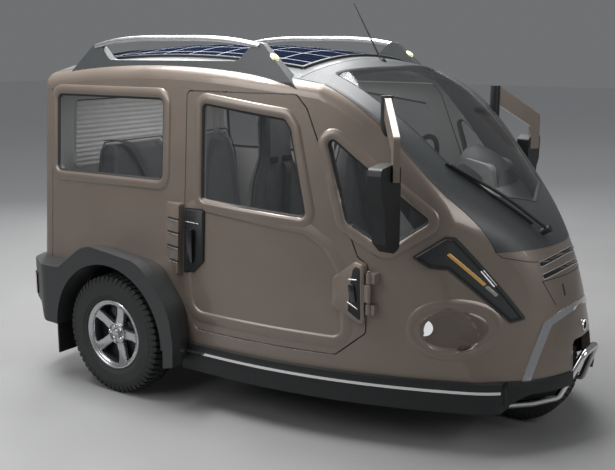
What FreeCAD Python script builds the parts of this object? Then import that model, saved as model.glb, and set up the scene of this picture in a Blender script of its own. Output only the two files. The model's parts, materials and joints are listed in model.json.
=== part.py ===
import FreeCAD, Part

import math
import os
import re
from types import SimpleNamespace

from FreeCAD import Vector

# Electric tricycle: a closed three-wheeled van with one steered front wheel and two rear wheels.
# Millimetres, X forwards, Y to the vehicle's left, Z up, the ground at z = 0.
# Lengths along X are taken from the rear axle; each sub-part's Placement moves them to the frame
# whose origin is under the middle of the vehicle.

DOC = FreeCAD.newDocument("electric_tricycle")

# Driving dimensions: name, value, what it is
SIZES = (
    ("rear_reach", 680, "rear axle to the rear bumper face"),
    ("wheelbase", 1700, "rear axle to front axle"),
    ("clear_gap", 6, "shut gap round doors and tailgate"),
    ("seat_gap", 0.3, "gap left where pieces of different bodies sit close"),
    # hull
    ("body_half_width", 732, "half width at the sill level"),
    ("sill_level", 300, "lower edge of the body sides"),
    ("side_lean", 0.07, "inward lean of the sides per unit of height"),
    ("side_bow_start", 600, "where the straight side ends"),
    ("side_bow_radius", 2600, "plan radius of the side towards the nose"),
    ("plan_tip", 355, "front axle to the foremost point of the side outline"),
    ("cheek_radius", 400, "plan radius from side to cheek"),
    ("nose_radius", 380, "plan radius of the nose"),
    ("tail_plane", 635, "rear face behind the rear axle"),
    ("roof_crest", 1622, "highest line of the roof"),
    ("roof_crest_place", 150, "where along X the roof is highest"),
    ("roof_length_radius", 5500, "roof radius seen from the side"),
    ("roof_cross_radius", 2400, "roof radius seen from the front"),
    ("edge_round", 75, "rounding of roof, pillar and tail edges"),
    ("wall", 38, "thickness of body walls, doors and lids"),
    ("glass_setback", 6, "glass below the outer surface"),
    ("glass_thickness", 5, "thickness of the panes"),
    # top skin, screen and roof
    ("skin_half_width", 598, "half width of the grey roof skin"),
    ("skin_tail", 590, "rear edge of the roof skin behind the axle"),
    ("skin_bottom", 812, "lowest edge of the screen surround"),
    ("skin_front", 172, "front axle to the foremost point of the screen surround"),
    ("header_place", 905, "seam between roof panel and screen surround"),
    ("solar_half_width", 470, "half width of the solar panel"),
    ("solar_tail", 470, "rear edge of the solar panel behind the axle"),
    ("solar_front", 850, "front edge of the solar panel"),
    ("solar_rise", 10, "solar panel above the roof"),
    # doors and tailgate
    ("door_rear", 350, "rear edge of the door"),
    ("door_front", 1270, "front edge of the door"),
    ("door_bottom", 365, "lower edge of the door"),
    ("door_top", 1430, "upper edge of the door"),
    ("hinge_line", 1290, "door hinge axis along X"),
    ("tail_shut", 545, "tailgate shut line on the side, behind the axle"),
    ("tail_gate_bottom", 572, "lower edge of the tailgate"),
    ("tail_gate_top", 1415, "upper edge of the tailgate"),
    # wheels
    ("rear_tyre_radius", 285, "rear tyre radius"),
    ("rear_tyre_width", 165, "rear tyre width"),
    ("rear_tyre_face", 844, "outer face of the rear tyre from the middle"),
    ("rear_rim_radius", 160, "rear rim seat radius"),
    ("front_tyre_radius", 245, "front tyre radius"),
    ("front_tyre_width", 155, "front tyre width"),
    ("front_rim_radius", 128, "front rim seat radius"),
    ("spoke_count", 5, "wide spokes per wheel"),
    ("axle_radius", 15, "stub axle radius"),
    ("bearing_gap", 0.05, "radial clearance in a bearing"),
    ("castor", 20, "steering axis lean in degrees"),
    # wheel arches
    ("arch_inner", 345, "radius of the rear wheel opening"),
    ("arch_outer", 425, "outer radius of the arch flare"),
    ("flare_face", 872, "outer face of the flare from the middle"),
    ("tub_face", 580, "inner wall of the wheel tub from the middle"),
    # underbody
    ("floor_top", 298, "cabin floor surface"),
    ("floor_thickness", 40, "floor thickness"),
    ("deck_top", 460, "load deck over the rear axle"),
    ("kick_up", 400, "where the floor steps up, ahead of the axle"),
    ("skirt_bottom", 175, "lowest edge of the sill skirts"),
    ("skirt_proud", 26, "skirt outside the body side"),
    ("well_half_width", 262, "inside half width of the front wheel well"),
    ("well_reach", 295, "front axle back to the rear wall of its wheel well"),
    ("front_overhang", 322, "front axle to the tip of the front tube"),
    ("well_top", 612, "roof of the front wheel well"),
    ("plate", 8, "sheet thickness of tubs and brackets"),
)

SHEET = DOC.addObject("Spreadsheet::Sheet", "Sizes")
for row, (alias, value, note) in enumerate(SIZES, start=1):
    SHEET.set("A%d" % row, alias)
    SHEET.set("B%d" % row, str(value))
    SHEET.set("C%d" % row, note)
    SHEET.setAlias("B%d" % row, alias)
DOC.recompute()

S = SimpleNamespace(**{alias: float(SHEET.get(alias)) for alias, _, _ in SIZES})
front_tip = S.wheelbase + S.front_overhang
well_rear = S.wheelbase - S.well_reach
ALIASES = sorted((alias for alias, _, _ in SIZES), key=len, reverse=True)
PARTS = {}


# Helpers

def expr(text):
    """Turns sheet names in a formula into references to the sheet."""
    return re.sub(r"\b(" + "|".join(ALIASES) + r")\b", r"Sizes.\1", text)


def bind(obj, **formulas):
    for prop, text in formulas.items():
        obj.setExpression(prop.replace("__", "."), expr(str(text)))
    return obj


def keep(obj, node, place="0"):
    """Makes an object a sub-part: its own label, and the shift from rear axle to frame origin."""
    obj.Label = node
    bind(obj, Placement__Base__x="%s + (rear_reach - wheelbase - front_overhang) / 2" % place)
    PARTS[node] = obj
    return obj


def settled(shape):
    """The shape with its location worked into its geometry."""
    bare = shape.copy()
    bare.Placement = FreeCAD.Placement()
    return bare.transformed(shape.Placement.toMatrix(), True)


def feature(node, shape):
    obj = DOC.addObject("Part::Feature", node)
    obj.Shape = settled(shape)
    return keep(obj, node)


def box(name, size, corner):
    obj = DOC.addObject("Part::Box", name)
    bind(obj, Length=size[0], Width=size[1], Height=size[2])
    return bind(obj, Placement__Base__x=corner[0], Placement__Base__y=corner[1],
                Placement__Base__z=corner[2])


def cylinder(name, radius, height, base, axis="Z"):
    obj = DOC.addObject("Part::Cylinder", name)
    bind(obj, Radius=radius, Height=height)
    turns = {"Z": FreeCAD.Rotation(), "Y": FreeCAD.Rotation(Vector(1, 0, 0), -90),
             "X": FreeCAD.Rotation(Vector(0, 1, 0), 90)}
    obj.Placement = FreeCAD.Placement(Vector(0, 0, 0), turns[axis])
    return bind(obj, Placement__Base__x=base[0], Placement__Base__y=base[1],
                Placement__Base__z=base[2])


def fuse(name, pieces):
    obj = DOC.addObject("Part::MultiFuse", name)
    obj.Shapes = pieces
    return obj


def cut(name, base, tool):
    obj = DOC.addObject("Part::Cut", name)
    obj.Base = base
    obj.Tool = tool
    return obj


def line(a, b):
    return Part.LineSegment(a, b).toShape()


def arc(a, b, c):
    return Part.Arc(a, b, c).toShape()


def in_xy(z):
    return lambda a, b: Vector(a, b, z)


def fore(points):
    """Points given from the front axle, turned into lengths from the rear axle."""
    return tuple((p[0] + S.wheelbase,) + tuple(p[1:]) for p in points)


def in_xz(y=0.0):
    return lambda a, b: Vector(a, y, b)


def in_yz(x=0.0):
    return lambda a, b: Vector(x, a, b)


def rounded(points, radius, place):
    """Closed outline through the points, each corner rounded; a point may carry its own radius."""
    edges = []
    last = None
    first = None
    count = len(points)
    for i in range(count):
        before, here, after = points[i - 1], points[i], points[(i + 1) % count]
        r = here[2] if len(here) > 2 else radius
        ax, ay = before[0] - here[0], before[1] - here[1]
        bx, by = after[0] - here[0], after[1] - here[1]
        la, lb = math.hypot(ax, ay), math.hypot(bx, by)
        half = math.acos(max(-1, min(1, (ax * bx + ay * by) / (la * lb)))) / 2
        if r < 0.01 or half > 1.55:
            start = end = place(here[0], here[1])
        else:
            reach = min(r / math.tan(half), 0.49 * la, 0.49 * lb)
            r = reach * math.tan(half)
            start = place(here[0] + ax / la * reach, here[1] + ay / la * reach)
            end = place(here[0] + bx / lb * reach, here[1] + by / lb * reach)
            mx, my = ax / la + bx / lb, ay / la + by / lb
            ml = math.hypot(mx, my)
            deep = r / math.sin(half) - r
            mid = place(here[0] + mx / ml * deep, here[1] + my / ml * deep)
        if last is not None and last.distanceToPoint(start) > 0.01:
            edges.append(line(last, start))
        if start.distanceToPoint(end) > 0.01:
            edges.append(arc(start, mid, end))
        if first is None:
            first = start
        last = end
    if last.distanceToPoint(first) > 0.01:
        edges.append(line(last, first))
    return Part.Wire(edges)


def prism(wire, direction):
    return Part.Face(wire).extrude(direction)


def across(points, radius, inner, outer):
    """Outline in the XZ plane, extruded along Y from inner to outer on the left side."""
    return prism(rounded(points, radius, in_xz(inner)), Vector(0, outer - inner, 0))


def through(points, radius, reach=1000.0):
    return across(points, radius, -reach, reach)


def mirrored(shape):
    return shape.mirror(Vector(0, 0, 0), Vector(0, 1, 0))


def both(shape):
    return Part.makeCompound([shape, mirrored(shape)])


def slab(x0, x1, y0, y1, z0, z1):
    return Part.makeBox(x1 - x0, y1 - y0, z1 - z0, Vector(x0, y0, z0))


def mirrored_point(point):
    return Vector(point.x, -point.y, point.z)


def rod(points, radius, turn=1000.0):
    """Round bar along straight runs joined by tangent arcs, at most as wide as the turn radius."""
    edges = []
    last = points[0]
    for i in range(1, len(points) - 1):
        here = points[i]
        a, b = (points[i - 1] - here), (points[i + 1] - here)
        la, lb = a.Length, b.Length
        a.normalize()
        b.normalize()
        half = a.getAngle(b) / 2
        reach = min(0.45 * min(la, lb), turn / math.tan(half))
        bend = reach * math.tan(half)
        bis = a + b
        bis.normalize()
        start, end = here + a * reach, here + b * reach
        edges.append(line(last, start))
        edges.append(arc(start, here + bis * (bend / math.sin(half) - bend), end))
        last = end
    edges.append(line(last, points[-1]))
    path = Part.Wire(edges)
    way = points[1] - points[0]
    ring = Part.Wire([Part.makeCircle(radius, points[0], way)])
    return path.makePipeShell([ring], True, False)


def side_of(shape, left):
    """The solids of a shape that lie on the left or the right of the middle."""
    found = [s for s in shape.Solids if (s.CenterOfMass.y > 0) == left]
    return Part.makeCompound(found) if len(found) > 1 else found[0]


# Hull: leaning sides, a crowned roof and a bowed front, cut from each other

def plan_wire(inset, z):
    """Plan outline of the sides, inset towards the middle."""
    diagonal = math.radians(45)
    bow = (S.side_bow_start, S.body_half_width - S.side_bow_radius)
    reach = S.side_bow_radius - S.cheek_radius
    across_corner = (S.wheelbase + S.plan_tip - S.nose_radius - bow[0] - bow[1]
                     - (S.cheek_radius - S.nose_radius) * math.sqrt(2))
    turn = math.asin(across_corner / reach / math.sqrt(2)) - diagonal
    cheek = (bow[0] + reach * math.sin(turn), bow[1] + reach * math.cos(turn))
    corner = cheek[0] + cheek[1] + (S.cheek_radius - S.nose_radius) * math.sqrt(2)
    nose = (corner, 0.0)

    def on(centre, radius, angle):
        return Vector(centre[0] + radius * math.sin(angle), centre[1] + radius * math.cos(angle), z)

    def bend(centre, radius, a, b):
        return arc(on(centre, radius, a), on(centre, radius, (a + b) / 2), on(centre, radius, b))

    half = S.body_half_width - inset
    back = -S.tail_plane - 200
    bow_r, cheek_r = S.side_bow_radius - inset, S.cheek_radius - inset
    nose_r = S.nose_radius - inset
    left = [line(Vector(back, half, z), Vector(S.side_bow_start, half, z)),
            bend(bow, bow_r, 0, turn), bend(cheek, cheek_r, turn, diagonal),
            line(on(cheek, cheek_r, diagonal), on(nose, nose_r, diagonal))]
    tip = bend(nose, nose_r, diagonal, math.pi - diagonal)
    right = [mirrored(edge) for edge in reversed(left)]
    tail = line(Vector(back, -half, z), Vector(back, half, z))
    return Part.Wire(Part.__sortEdges__(left + [tip] + right + [tail]))


# Front of the body at rising heights: height, foremost point from the front axle, bow radius
FRONT_SECTIONS = (
    (140, 272, 520),
    (573, 247, 390),
    (828, 148, 530),
    (1000, 12, 850),
    (1247, -237, 1400),
    (1500, -596, 1400),
    (1750, -1100, 1400),
)


def front_wire(height, tip, bow, inset):
    wide, back, arc_half = 950.0, -1000.0, 640.0
    tip -= inset
    angle = min(math.radians(45), math.asin(min(1.0, arc_half / bow)))
    y, x = bow * math.sin(angle), tip - bow + bow * math.cos(angle)
    flank = x - (wide - y) * math.tan(angle)
    p = [Vector(a, b, height) for a, b in (
        (back, -wide), (flank, -wide), (x, -y), (tip, 0), (x, y), (flank, wide), (back, wide))]
    return Part.Wire([line(p[0], p[1]), line(p[1], p[2]), arc(p[2], p[3], p[4]),
                      line(p[4], p[5]), line(p[5], p[6]), line(p[6], p[0])])


def roof_cut(inset):
    """Everything below the crowned roof and ahead of the rear face."""
    def height(x):
        drop = S.roof_length_radius - math.sqrt(
            S.roof_length_radius ** 2 - (x - S.roof_crest_place) ** 2)
        return S.roof_crest - inset - drop

    x0, x1, x2 = -S.tail_plane + inset, 1300.0, front_tip + 80
    curve = arc(Vector(x0, 0, height(x0)), Vector((x0 + x1) / 2, 0, height((x0 + x1) / 2)),
                Vector(x1, 0, height(x1)))
    low = height(x1) - 0.2 * (x2 - x1)
    p = [Vector(x1, 0, height(x1)), Vector(x2, 0, low), Vector(x2, 0, 0), Vector(x0, 0, 0),
         Vector(x0, 0, height(x0))]
    face = Part.Face(Part.Wire([curve] + [line(p[i], p[i + 1]) for i in range(4)]))
    pivot = Vector(0, 0, S.roof_crest - S.roof_cross_radius)
    face.rotate(pivot, Vector(1, 0, 0), -60)
    return face.revolve(pivot, Vector(1, 0, 0), 120)


def edge_kind(face):
    box_ = face.BoundBox
    kind = type(face.Surface).__name__
    if box_.ZLength < 1:
        return "bottom"
    if kind == "Plane" and box_.XMax < -S.tail_plane + 200:
        return "rear"
    if kind in ("SurfaceOfRevolution", "Toroid"):
        return "roof"
    return "front" if kind == "BSplineSurface" else "side"


def hull(inset, bottom, soft=True):
    """Outer form of the body, or the same form inset, its long edges rounded when soft."""
    top = S.roof_crest + 120
    sides = Part.makeLoft([plan_wire(inset + S.side_lean * (z - S.sill_level), z)
                           for z in (bottom, top)], True, True)
    front = Part.makeLoft([front_wire(z, S.wheelbase + x, r, inset) for z, x, r in FRONT_SECTIONS],
                          True, False)
    solid = sides.common(roof_cut(inset)).common(front)
    if not soft:
        return solid
    edges = []
    for edge in solid.Edges:
        kinds = {edge_kind(f) for f in solid.ancestorsOfType(edge, Part.Face)}
        if kinds in ({"side", "roof"}, {"rear", "roof"}, {"front", "side"}, {"front", "roof"},
                     {"rear", "side"}):
            edges.append(edge)
    return solid.makeFillet(S.edge_round - inset, edges)


OUTER = hull(0, S.sill_level)
INNER = hull(S.wall, 255.0, False)
SHELL = OUTER.cut(INNER)
PANE = hull(S.glass_setback, S.sill_level, False).cut(
    hull(S.glass_setback + S.glass_thickness, S.sill_level - 20, False))

# Outlines in side view, x from the rear axle and z
DOOR = ((S.door_rear + 75, S.door_bottom), (1146, S.door_bottom), (S.door_front, 470),
        (S.door_front - 6, 752), (1222, 780), (975, 1375), (925, S.door_top),
        (S.door_rear, S.door_top), (S.door_rear, 565), (S.door_rear + 75, 410))
DOOR_WINDOW = ((432, 1388), (880, 1335), (912, 1290), (1000, 918), (438, 948))
QUARTER_WINDOW = ((-508, 1400), (212, 1400), (212, 1015), (-508, 1012))
KITE_WINDOW = fore(((-650, 1305), (-186, 943), (-363, 815), (-536, 920)))


def widened(points, radius, gap):
    """The rounded outline in side view, moved out by a gap, as a prism through the body."""
    wire = rounded(points, radius, in_xz(-1000.0))
    if gap:
        wire = wire.makeOffset2D(gap)
    return prism(wire, Vector(0, 2000, 0))


DOOR_ROUND = 22
door_zone = widened(DOOR, DOOR_ROUND, 0)
door_hole = widened(DOOR, DOOR_ROUND, S.clear_gap)
door_window = through(DOOR_WINDOW, 28)
side_windows = [through(QUARTER_WINDOW, 34), through(KITE_WINDOW, 26)]

# Roof skin and screen surround, outline in plan
half = S.skin_half_width
SKIN_EDGE = fore(((-1000, 0), (-570, 28), (-206, 103), (-82, 172), (35, 262), (135, 393)))
skin_points = [Vector(x, half - inward, 0) for x, inward in SKIN_EDGE]
skin_left = [line(Vector(-S.skin_tail, half, 0), skin_points[0]), arc(*skin_points[0:3]),
             arc(*skin_points[2:5]),
             arc(skin_points[4], skin_points[5], Vector(S.wheelbase + S.skin_front, 0, 0))]
skin_wire = Part.Wire(Part.__sortEdges__(
    skin_left + [mirrored(e) for e in skin_left]
    + [line(Vector(-S.skin_tail, half, 0), Vector(-S.skin_tail, -half, 0))]))
skin_zone = prism(skin_wire, Vector(0, 0, 1000))
skin_zone.translate(Vector(0, 0, S.skin_bottom))
header_cut = slab(-S.tail_plane - 10, S.header_place, -800, 800, S.skin_bottom, 1800)

# Screen opening in plan
SCREEN = fore(((-715, 452, 30), (-500, 452, 200), (-220, 375, 200), (-45, 262, 30), (35, 0, 60),
          (-45, -262, 30), (-220, -375, 200), (-500, -452, 200), (-715, -452, 30), (-665, 0, 900)))
screen_zone = prism(rounded(SCREEN, 30, in_xy(850.0)), Vector(0, 0, 900))

# Tailgate zone and its gap
tail_zone = slab(-S.tail_plane - 10, -S.tail_shut, -800, 800, S.tail_gate_bottom, S.tail_gate_top)
tail_hole = slab(-S.tail_plane - 10, -S.tail_shut + S.clear_gap, -800, 800,
                 S.tail_gate_bottom - S.clear_gap, S.tail_gate_top + S.clear_gap)
TAIL_WINDOW = ((-500, 1000), (500, 1000), (470, 1350), (-470, 1350))
tail_window = prism(rounded(TAIL_WINDOW, 40, in_yz(-S.tail_plane - 50)), Vector(150, 0, 0))

# Nose zone, ahead of the bright V: outline in side view
NOSE = fore(((126, 150), (184, 520), (246, 578), (400, 578), (400, 150)))
nose_zone = through(NOSE, 0)
nose_opening = prism(rounded(((-125, 200), (125, 200), (105, 425), (-105, 425)), 30,
                             in_yz(S.wheelbase + 100)), Vector(300, 0, 0))

wheel_arch = Part.makeCylinder(S.arch_inner + S.plate, 2000, Vector(0, -1000, S.rear_tyre_radius),
                               Vector(0, 1, 0))
wheel_arches = wheel_arch.cut(slab(-400, 400, -S.tub_face, S.tub_face, -200, 700))

# Headlamp scoops: shallow ovals sunk in the cheeks, a lens at the rear end of each
SCOOP_PLACE = fore(((-100, 507),))[0]
SCOOP_SIZE = (140, 29, 96)


def side_point(x, z):
    """Point on the left side of the body."""
    return Vector(x, line(Vector(x, 0, z), Vector(x, 900, z)).common(OUTER).BoundBox.YMax, z)


scoop_centre = side_point(*SCOOP_PLACE)
scoop_way = side_point(SCOOP_PLACE[0] + 60, SCOOP_PLACE[1]) - side_point(SCOOP_PLACE[0] - 60,
                                                                       SCOOP_PLACE[1])
scoop_turn = math.atan2(scoop_way.y, scoop_way.x)
stretch = FreeCAD.Matrix()
stretch.scale(*SCOOP_SIZE)
scoop = Part.makeSphere(1).transformGeometry(stretch)
scoop.rotate(Vector(0, 0, 0), Vector(0, 0, 1), math.degrees(scoop_turn))
scoop.translate(scoop_centre)

# Body panels
body = SHELL.cut([skin_zone, door_hole, tail_hole, nose_zone, wheel_arches] + side_windows)
body = body.cut([scoop, mirrored(scoop)])
lens_place = scoop_centre + Vector(math.cos(scoop_turn), math.sin(scoop_turn), 0) * -104
lens = Part.makeSphere(38, lens_place + Vector(0, 0, 6)).common(scoop).common(OUTER)
feature("headlamps", both(lens))

# Outside hinges: a barrel on the body, a pin and a strap on the door
HINGE_AXIS = (S.hinge_line, 642)
HINGE_LOW, HINGE_HIGH = 545, 735
barrels = []
for low in (HINGE_LOW + 10, HINGE_HIGH - 50):
    knuckle = Part.makeCylinder(11, 40, Vector(*HINGE_AXIS, low))
    bracket = slab(HINGE_AXIS[0] - 6, HINGE_AXIS[0] + 28, 560, HINGE_AXIS[1], low, low + 40)
    barrels.append(knuckle.fuse(bracket))
pin_hole = Part.makeCylinder(5 + S.bearing_gap, 400, Vector(*HINGE_AXIS, 400))
door_hinges = barrels[0].fuse(barrels[1]).cut(OUTER).cut(pin_hole)
feature("door_hinges", both(door_hinges))
strap = slab(1130, HINGE_AXIS[0], HINGE_AXIS[1] - 5, HINGE_AXIS[1] + 5, 605, 675)
strap = strap.cut(OUTER).fuse(Part.makeCylinder(10, 70, Vector(*HINGE_AXIS, 605)))
hinge_pin = Part.makeCylinder(5, HINGE_HIGH - HINGE_LOW, Vector(*HINGE_AXIS, HINGE_LOW))
door_strap = strap.fuse(hinge_pin)
feature("body_shell", body)
skin = SHELL.common(skin_zone)
feature("roof_panel", skin.common(header_cut))
feature("screen_surround", skin.cut(header_cut).cut(screen_zone))
feature("windscreen", PANE.common(screen_zone))
feature("side_glass", PANE.common(Part.makeCompound(side_windows)))
doors = SHELL.common(door_zone).cut(door_window)
door_panes = PANE.common(door_window)
for side_name, left in (("right", False), ("left", True)):
    own_strap = door_strap if left else mirrored(door_strap)
    feature("door_" + side_name, side_of(doors, left).fuse(own_strap))
    feature("door_glass_" + side_name, side_of(door_panes, left))

# Tailgate hinges: a barrel on the body above the lid, a pin between ears on the lid
TAIL_AXIS = (-S.tail_plane - 8, S.tail_gate_top + 3)
tail_knuckle = Part.makeCylinder(8, 40, Vector(TAIL_AXIS[0], 380, TAIL_AXIS[1]), Vector(0, 1, 0))
tail_bracket = slab(TAIL_AXIS[0] - 8, -S.tail_plane, 380, 420, TAIL_AXIS[1], TAIL_AXIS[1] + 34)
tail_hole_bore = Part.makeCylinder(4 + S.bearing_gap, 200, Vector(TAIL_AXIS[0], 300, TAIL_AXIS[1]),
                                   Vector(0, 1, 0))
feature("tail_hinges", both(tail_knuckle.fuse(tail_bracket).cut(tail_hole_bore)))
ears = [Part.makeCylinder(4, 90, Vector(TAIL_AXIS[0], 355, TAIL_AXIS[1]), Vector(0, 1, 0))]
for start in (355, 427):
    ears.append(Part.makeCylinder(8, 18, Vector(TAIL_AXIS[0], start, TAIL_AXIS[1]), Vector(0, 1, 0)))
    ears.append(slab(TAIL_AXIS[0] - 8, -S.tail_plane, start, start + 18, TAIL_AXIS[1] - 36,
                     TAIL_AXIS[1]))
ears = ears[0].fuse(ears[1:])
feature("tailgate", SHELL.common(tail_zone).cut(tail_window).fuse([ears, mirrored(ears)]))
feature("tailgate_glass", PANE.common(tail_window))
# Charge socket: a bright ring on the nose round a blind hole
SOCKET_HEIGHT, SOCKET_RADIUS, RING_RADIUS = 468, 17, 26
nose_tip = line(Vector(S.wheelbase, 0, SOCKET_HEIGHT),
                Vector(front_tip, 0, SOCKET_HEIGHT)).common(OUTER).BoundBox.XMax
socket_floor = Vector(nose_tip - 20, 0, SOCKET_HEIGHT)
socket = Part.makeCylinder(SOCKET_RADIUS, 100, socket_floor, Vector(1, 0, 0))
nose_panel = SHELL.common(nose_zone).cut(nose_opening).cut(socket)
feature("nose_cap", nose_panel)
socket_ring = Part.makeCylinder(RING_RADIUS, 30, socket_floor, Vector(1, 0, 0))
feature("nose_ring", socket_ring.cut(OUTER).cut(socket))
v_band = through(NOSE, 0).cut(through([(x + 24, z - 14) for x, z in NOSE], 0))
trim = hull(-5, S.sill_level).cut(OUTER)
apex_gap = slab(S.wheelbase + 250, S.wheelbase + 500, -900, 900, 0, 560)
feature("nose_trim", trim.common(v_band).cut(apex_gap))


# Solar panel: a thin crowned sheet on the roof
panel_zone = slab(-S.solar_tail, S.solar_front, -S.solar_half_width, S.solar_half_width, 1400, 1800)
roof_sheet = hull(-S.solar_rise, S.sill_level).cut(OUTER)
feature("solar_panel", roof_sheet.common(panel_zone))


# Underbody
def ring(inset_out, inset_in, z0, z1):
    """Band that follows the plan outline between two insets."""
    outer = prism(plan_wire(inset_out, z0), Vector(0, 0, z1 - z0))
    return outer.cut(prism(plan_wire(inset_in, z0 - 1), Vector(0, 0, z1 - z0 + 2)))


low_floor = prism(plan_wire(S.wall + 2, S.floor_top - S.floor_thickness),
                  Vector(0, 0, S.floor_thickness))
low_floor = low_floor.common(slab(S.kick_up, well_rear - S.plate, -900, 900, 0, 900))
deck = slab(-S.tail_plane + S.wall, S.kick_up + S.floor_thickness, -S.tub_face, S.tub_face,
            S.deck_top - S.floor_thickness, S.deck_top)
riser = slab(S.kick_up, S.kick_up + S.floor_thickness, -S.tub_face, S.tub_face,
             S.floor_top - S.floor_thickness, S.deck_top)
feature("floor_pan", low_floor.fuse([deck, riser]).removeSplitter())

skirt_front = S.wheelbase + 100
skirt = ring(-S.skirt_proud, S.wall, S.skirt_bottom, S.sill_level)
skirt = skirt.common(slab(S.arch_inner + 25, skirt_front, -900, 900, 0, 900))
strip = ring(-S.skirt_proud - 4, -S.skirt_proud, 258, 270)
feature("sill_strips", strip.common(slab(S.arch_outer - 20, skirt_front, -900, 900, 0, 900)))

lip = hull(-12, S.skirt_bottom, False).cut(hull(S.wall, S.skirt_bottom - 10, False))
lip = lip.common(slab(skirt_front, front_tip, -900, 900, 0, S.sill_level))
lip = lip.cut(slab(S.wheelbase, front_tip, -125, 125, 0, 425))

# Polished front tube: low runs under the bumper, a narrow hoop at the tip
bar_radius = 16
bar_tip = front_tip - bar_radius
run = [Vector(bar_tip, 70, 368), Vector(bar_tip - 76, 150, 182), Vector(S.wheelbase + 145, 215, 158),
       Vector(S.wheelbase + 35, 290, 146)]
tube = rod([mirrored_point(q) for q in reversed(run)] + run, bar_radius, 34)
feature("front_bar", tube)
feature("sill_skirts", skirt.cut(tube))

TUB_TOP = S.arch_inner + S.plate
tub = Part.makeCylinder(TUB_TOP, S.body_half_width - 30 - S.tub_face,
                        Vector(0, S.tub_face, S.rear_tyre_radius), Vector(0, 1, 0))
tub = tub.cut(Part.makeCylinder(S.arch_inner, 400, Vector(0, S.tub_face + S.plate,
                                                        S.rear_tyre_radius), Vector(0, 1, 0)))
tub = tub.cut(slab(-500, 500, 0, 900, -200, S.sill_level + 50))
feature("wheel_tubs", both(tub))

# Rear corners in plan, shared by the flares and the bumper
REAR_PLAN = ((-S.rear_reach, -420, 200), (-S.rear_reach, 420, 200), (-640, 690, 60), (-600, 775, 70),
             (-440, S.flare_face, 90), (900, S.flare_face), (900, -S.flare_face),
             (-440, -S.flare_face, 90), (-600, -775, 70), (-640, -690, 60))


def rear_plan(z, height, proud=0.0):
    wire = rounded(REAR_PLAN, 0, in_xy(z))
    return prism(wire.makeOffset2D(proud) if proud else wire, Vector(0, 0, height))


# Arch flares: an outer lip, a neck that narrows towards the body, and a solid rear end
FLARE = ((362, 200, 10), (414, 215, 10), (416, 330, 100), (392, 470, 200), (225, 668, 190),
         (-130, 712, 170), (-320, 575, 80), (-800, 575, 10), (-800, 385, 10), (-490, 372, 25),
         (-440, 292, 30), (-300, 285, 10))
lip_inner = S.flare_face - 56
flare_wire = rounded(FLARE, 40, in_xz(lip_inner))
narrow = flare_wire.makeOffset2D(-52)
narrow.translate(Vector(0, 640 - lip_inner, 0))
flare = prism(flare_wire, Vector(0, S.flare_face - lip_inner, 0))
flare = flare.fuse([Part.makeLoft([narrow, flare_wire], True, True),
                    across(FLARE, 40, 640, S.flare_face).common(slab(-900, -260, 0, 900, 0, 900))])
flare = flare.common(rear_plan(100, 800))
flare = flare.cut(Part.makeCylinder(S.arch_inner, 500, Vector(0, 600, S.rear_tyre_radius),
                                    Vector(0, 1, 0)))
flare = flare.cut(hull(-0.2, 150)).cut(slab(-290, 355, 600, 900, 0, 284)).cut(skirt)
feature("arch_flares", both(flare))

bumper = rear_plan(385, 190).common(slab(-900, -S.tail_plane, -640, 640, 0, 900))
feature("rear_bumper", bumper)
lamp_zone = slab(-670, -560, 700, 830, 395, 500)
feature("tail_lamps", both(rear_plan(395, 105, 7).common(lamp_zone).cut(rear_plan(100, 800))))
feature("mud_flaps", both(slab(-372, -364, S.rear_tyre_face - S.rear_tyre_width - 5,
                               S.rear_tyre_face + 5, 130, 400).cut(flare).cut(OUTER)))

# Front wheel well with the steering head tube
well_side = slab(well_rear, S.wheelbase + 190, S.well_half_width, S.well_half_width + S.plate, 258,
                 S.well_top + S.plate)
well_back = slab(well_rear - S.plate, well_rear, -S.well_half_width - S.plate,
                 S.well_half_width + S.plate, S.floor_top - S.floor_thickness,
                 S.well_top + S.plate)
well_roof = slab(well_rear, S.wheelbase + 150, -S.well_half_width, S.well_half_width, S.well_top,
                 S.well_top + S.plate)
tilt = math.radians(S.castor)
axis = Vector(-math.sin(tilt), 0, math.cos(tilt))
front_hub = Vector(S.wheelbase, 0, S.front_tyre_radius)
head = Part.makeCylinder(36, 85, front_hub + axis * 335, axis)
bore = Part.makeCylinder(20 + S.bearing_gap, 200, front_hub + axis * 300, axis)
well = well_side.fuse([mirrored(well_side), well_back, well_roof])
well = well.common(hull(S.wall + 0.2, 255.0, False)).fuse(head).cut(bore)
feature("front_frame", well.removeSplitter())
feature("front_bumper", lip.cut(tube).cut(well))

keep(box("battery_pack", ("620", "1000", "115"), ("0", "-500", "floor_top - floor_thickness - 115")),
     "battery_pack", "440")
motor = box("motor_block", ("260", "280", "deck_top - floor_thickness - 200"), ("-130", "-140", "200"))
motor_bore = cylinder("motor_bore", "30", "400", ("0", "-200", "rear_tyre_radius"), "Y")
keep(cut("drive_motor", motor, motor_bore), "drive_motor")


# Rear axle: beam, hub stubs and arms up to the deck
hub_in = "rear_tyre_face - rear_tyre_width"
beam = cylinder("axle_beam", "30", "2 * (%s - 25)" % hub_in,
                ("0", "-(%s - 25)" % hub_in, "rear_tyre_radius"), "Y")
stubs = cylinder("axle_stubs", "axle_radius", "2 * (rear_tyre_face - 45)",
                 ("0", "-(rear_tyre_face - 45)", "rear_tyre_radius"), "Y")
arms = []
for tag, y in (("l", "420"), ("r", "-480")):
    arms.append(box("arm_" + tag, ("350", "60", "60"), ("-30", y, "rear_tyre_radius - 30")))
    arms.append(box("arm_post_" + tag, ("60", "60", "deck_top - floor_thickness - rear_tyre_radius"),
                    ("260", y, "rear_tyre_radius")))
keep(fuse("rear_axle", [beam, stubs] + arms), "rear_axle")


# Wheels
# Half section of a tyre in flat steps: share of the half width, share of the height above the rim.
# The bead sits where the rim's lip starts.
RIM_LIP = 18
TYRE_SECTION = ((0.86, 0.14), (1.0, 0.5), (0.94, 0.84), (0.72, 0.97), (0.0, 1.0))


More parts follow.
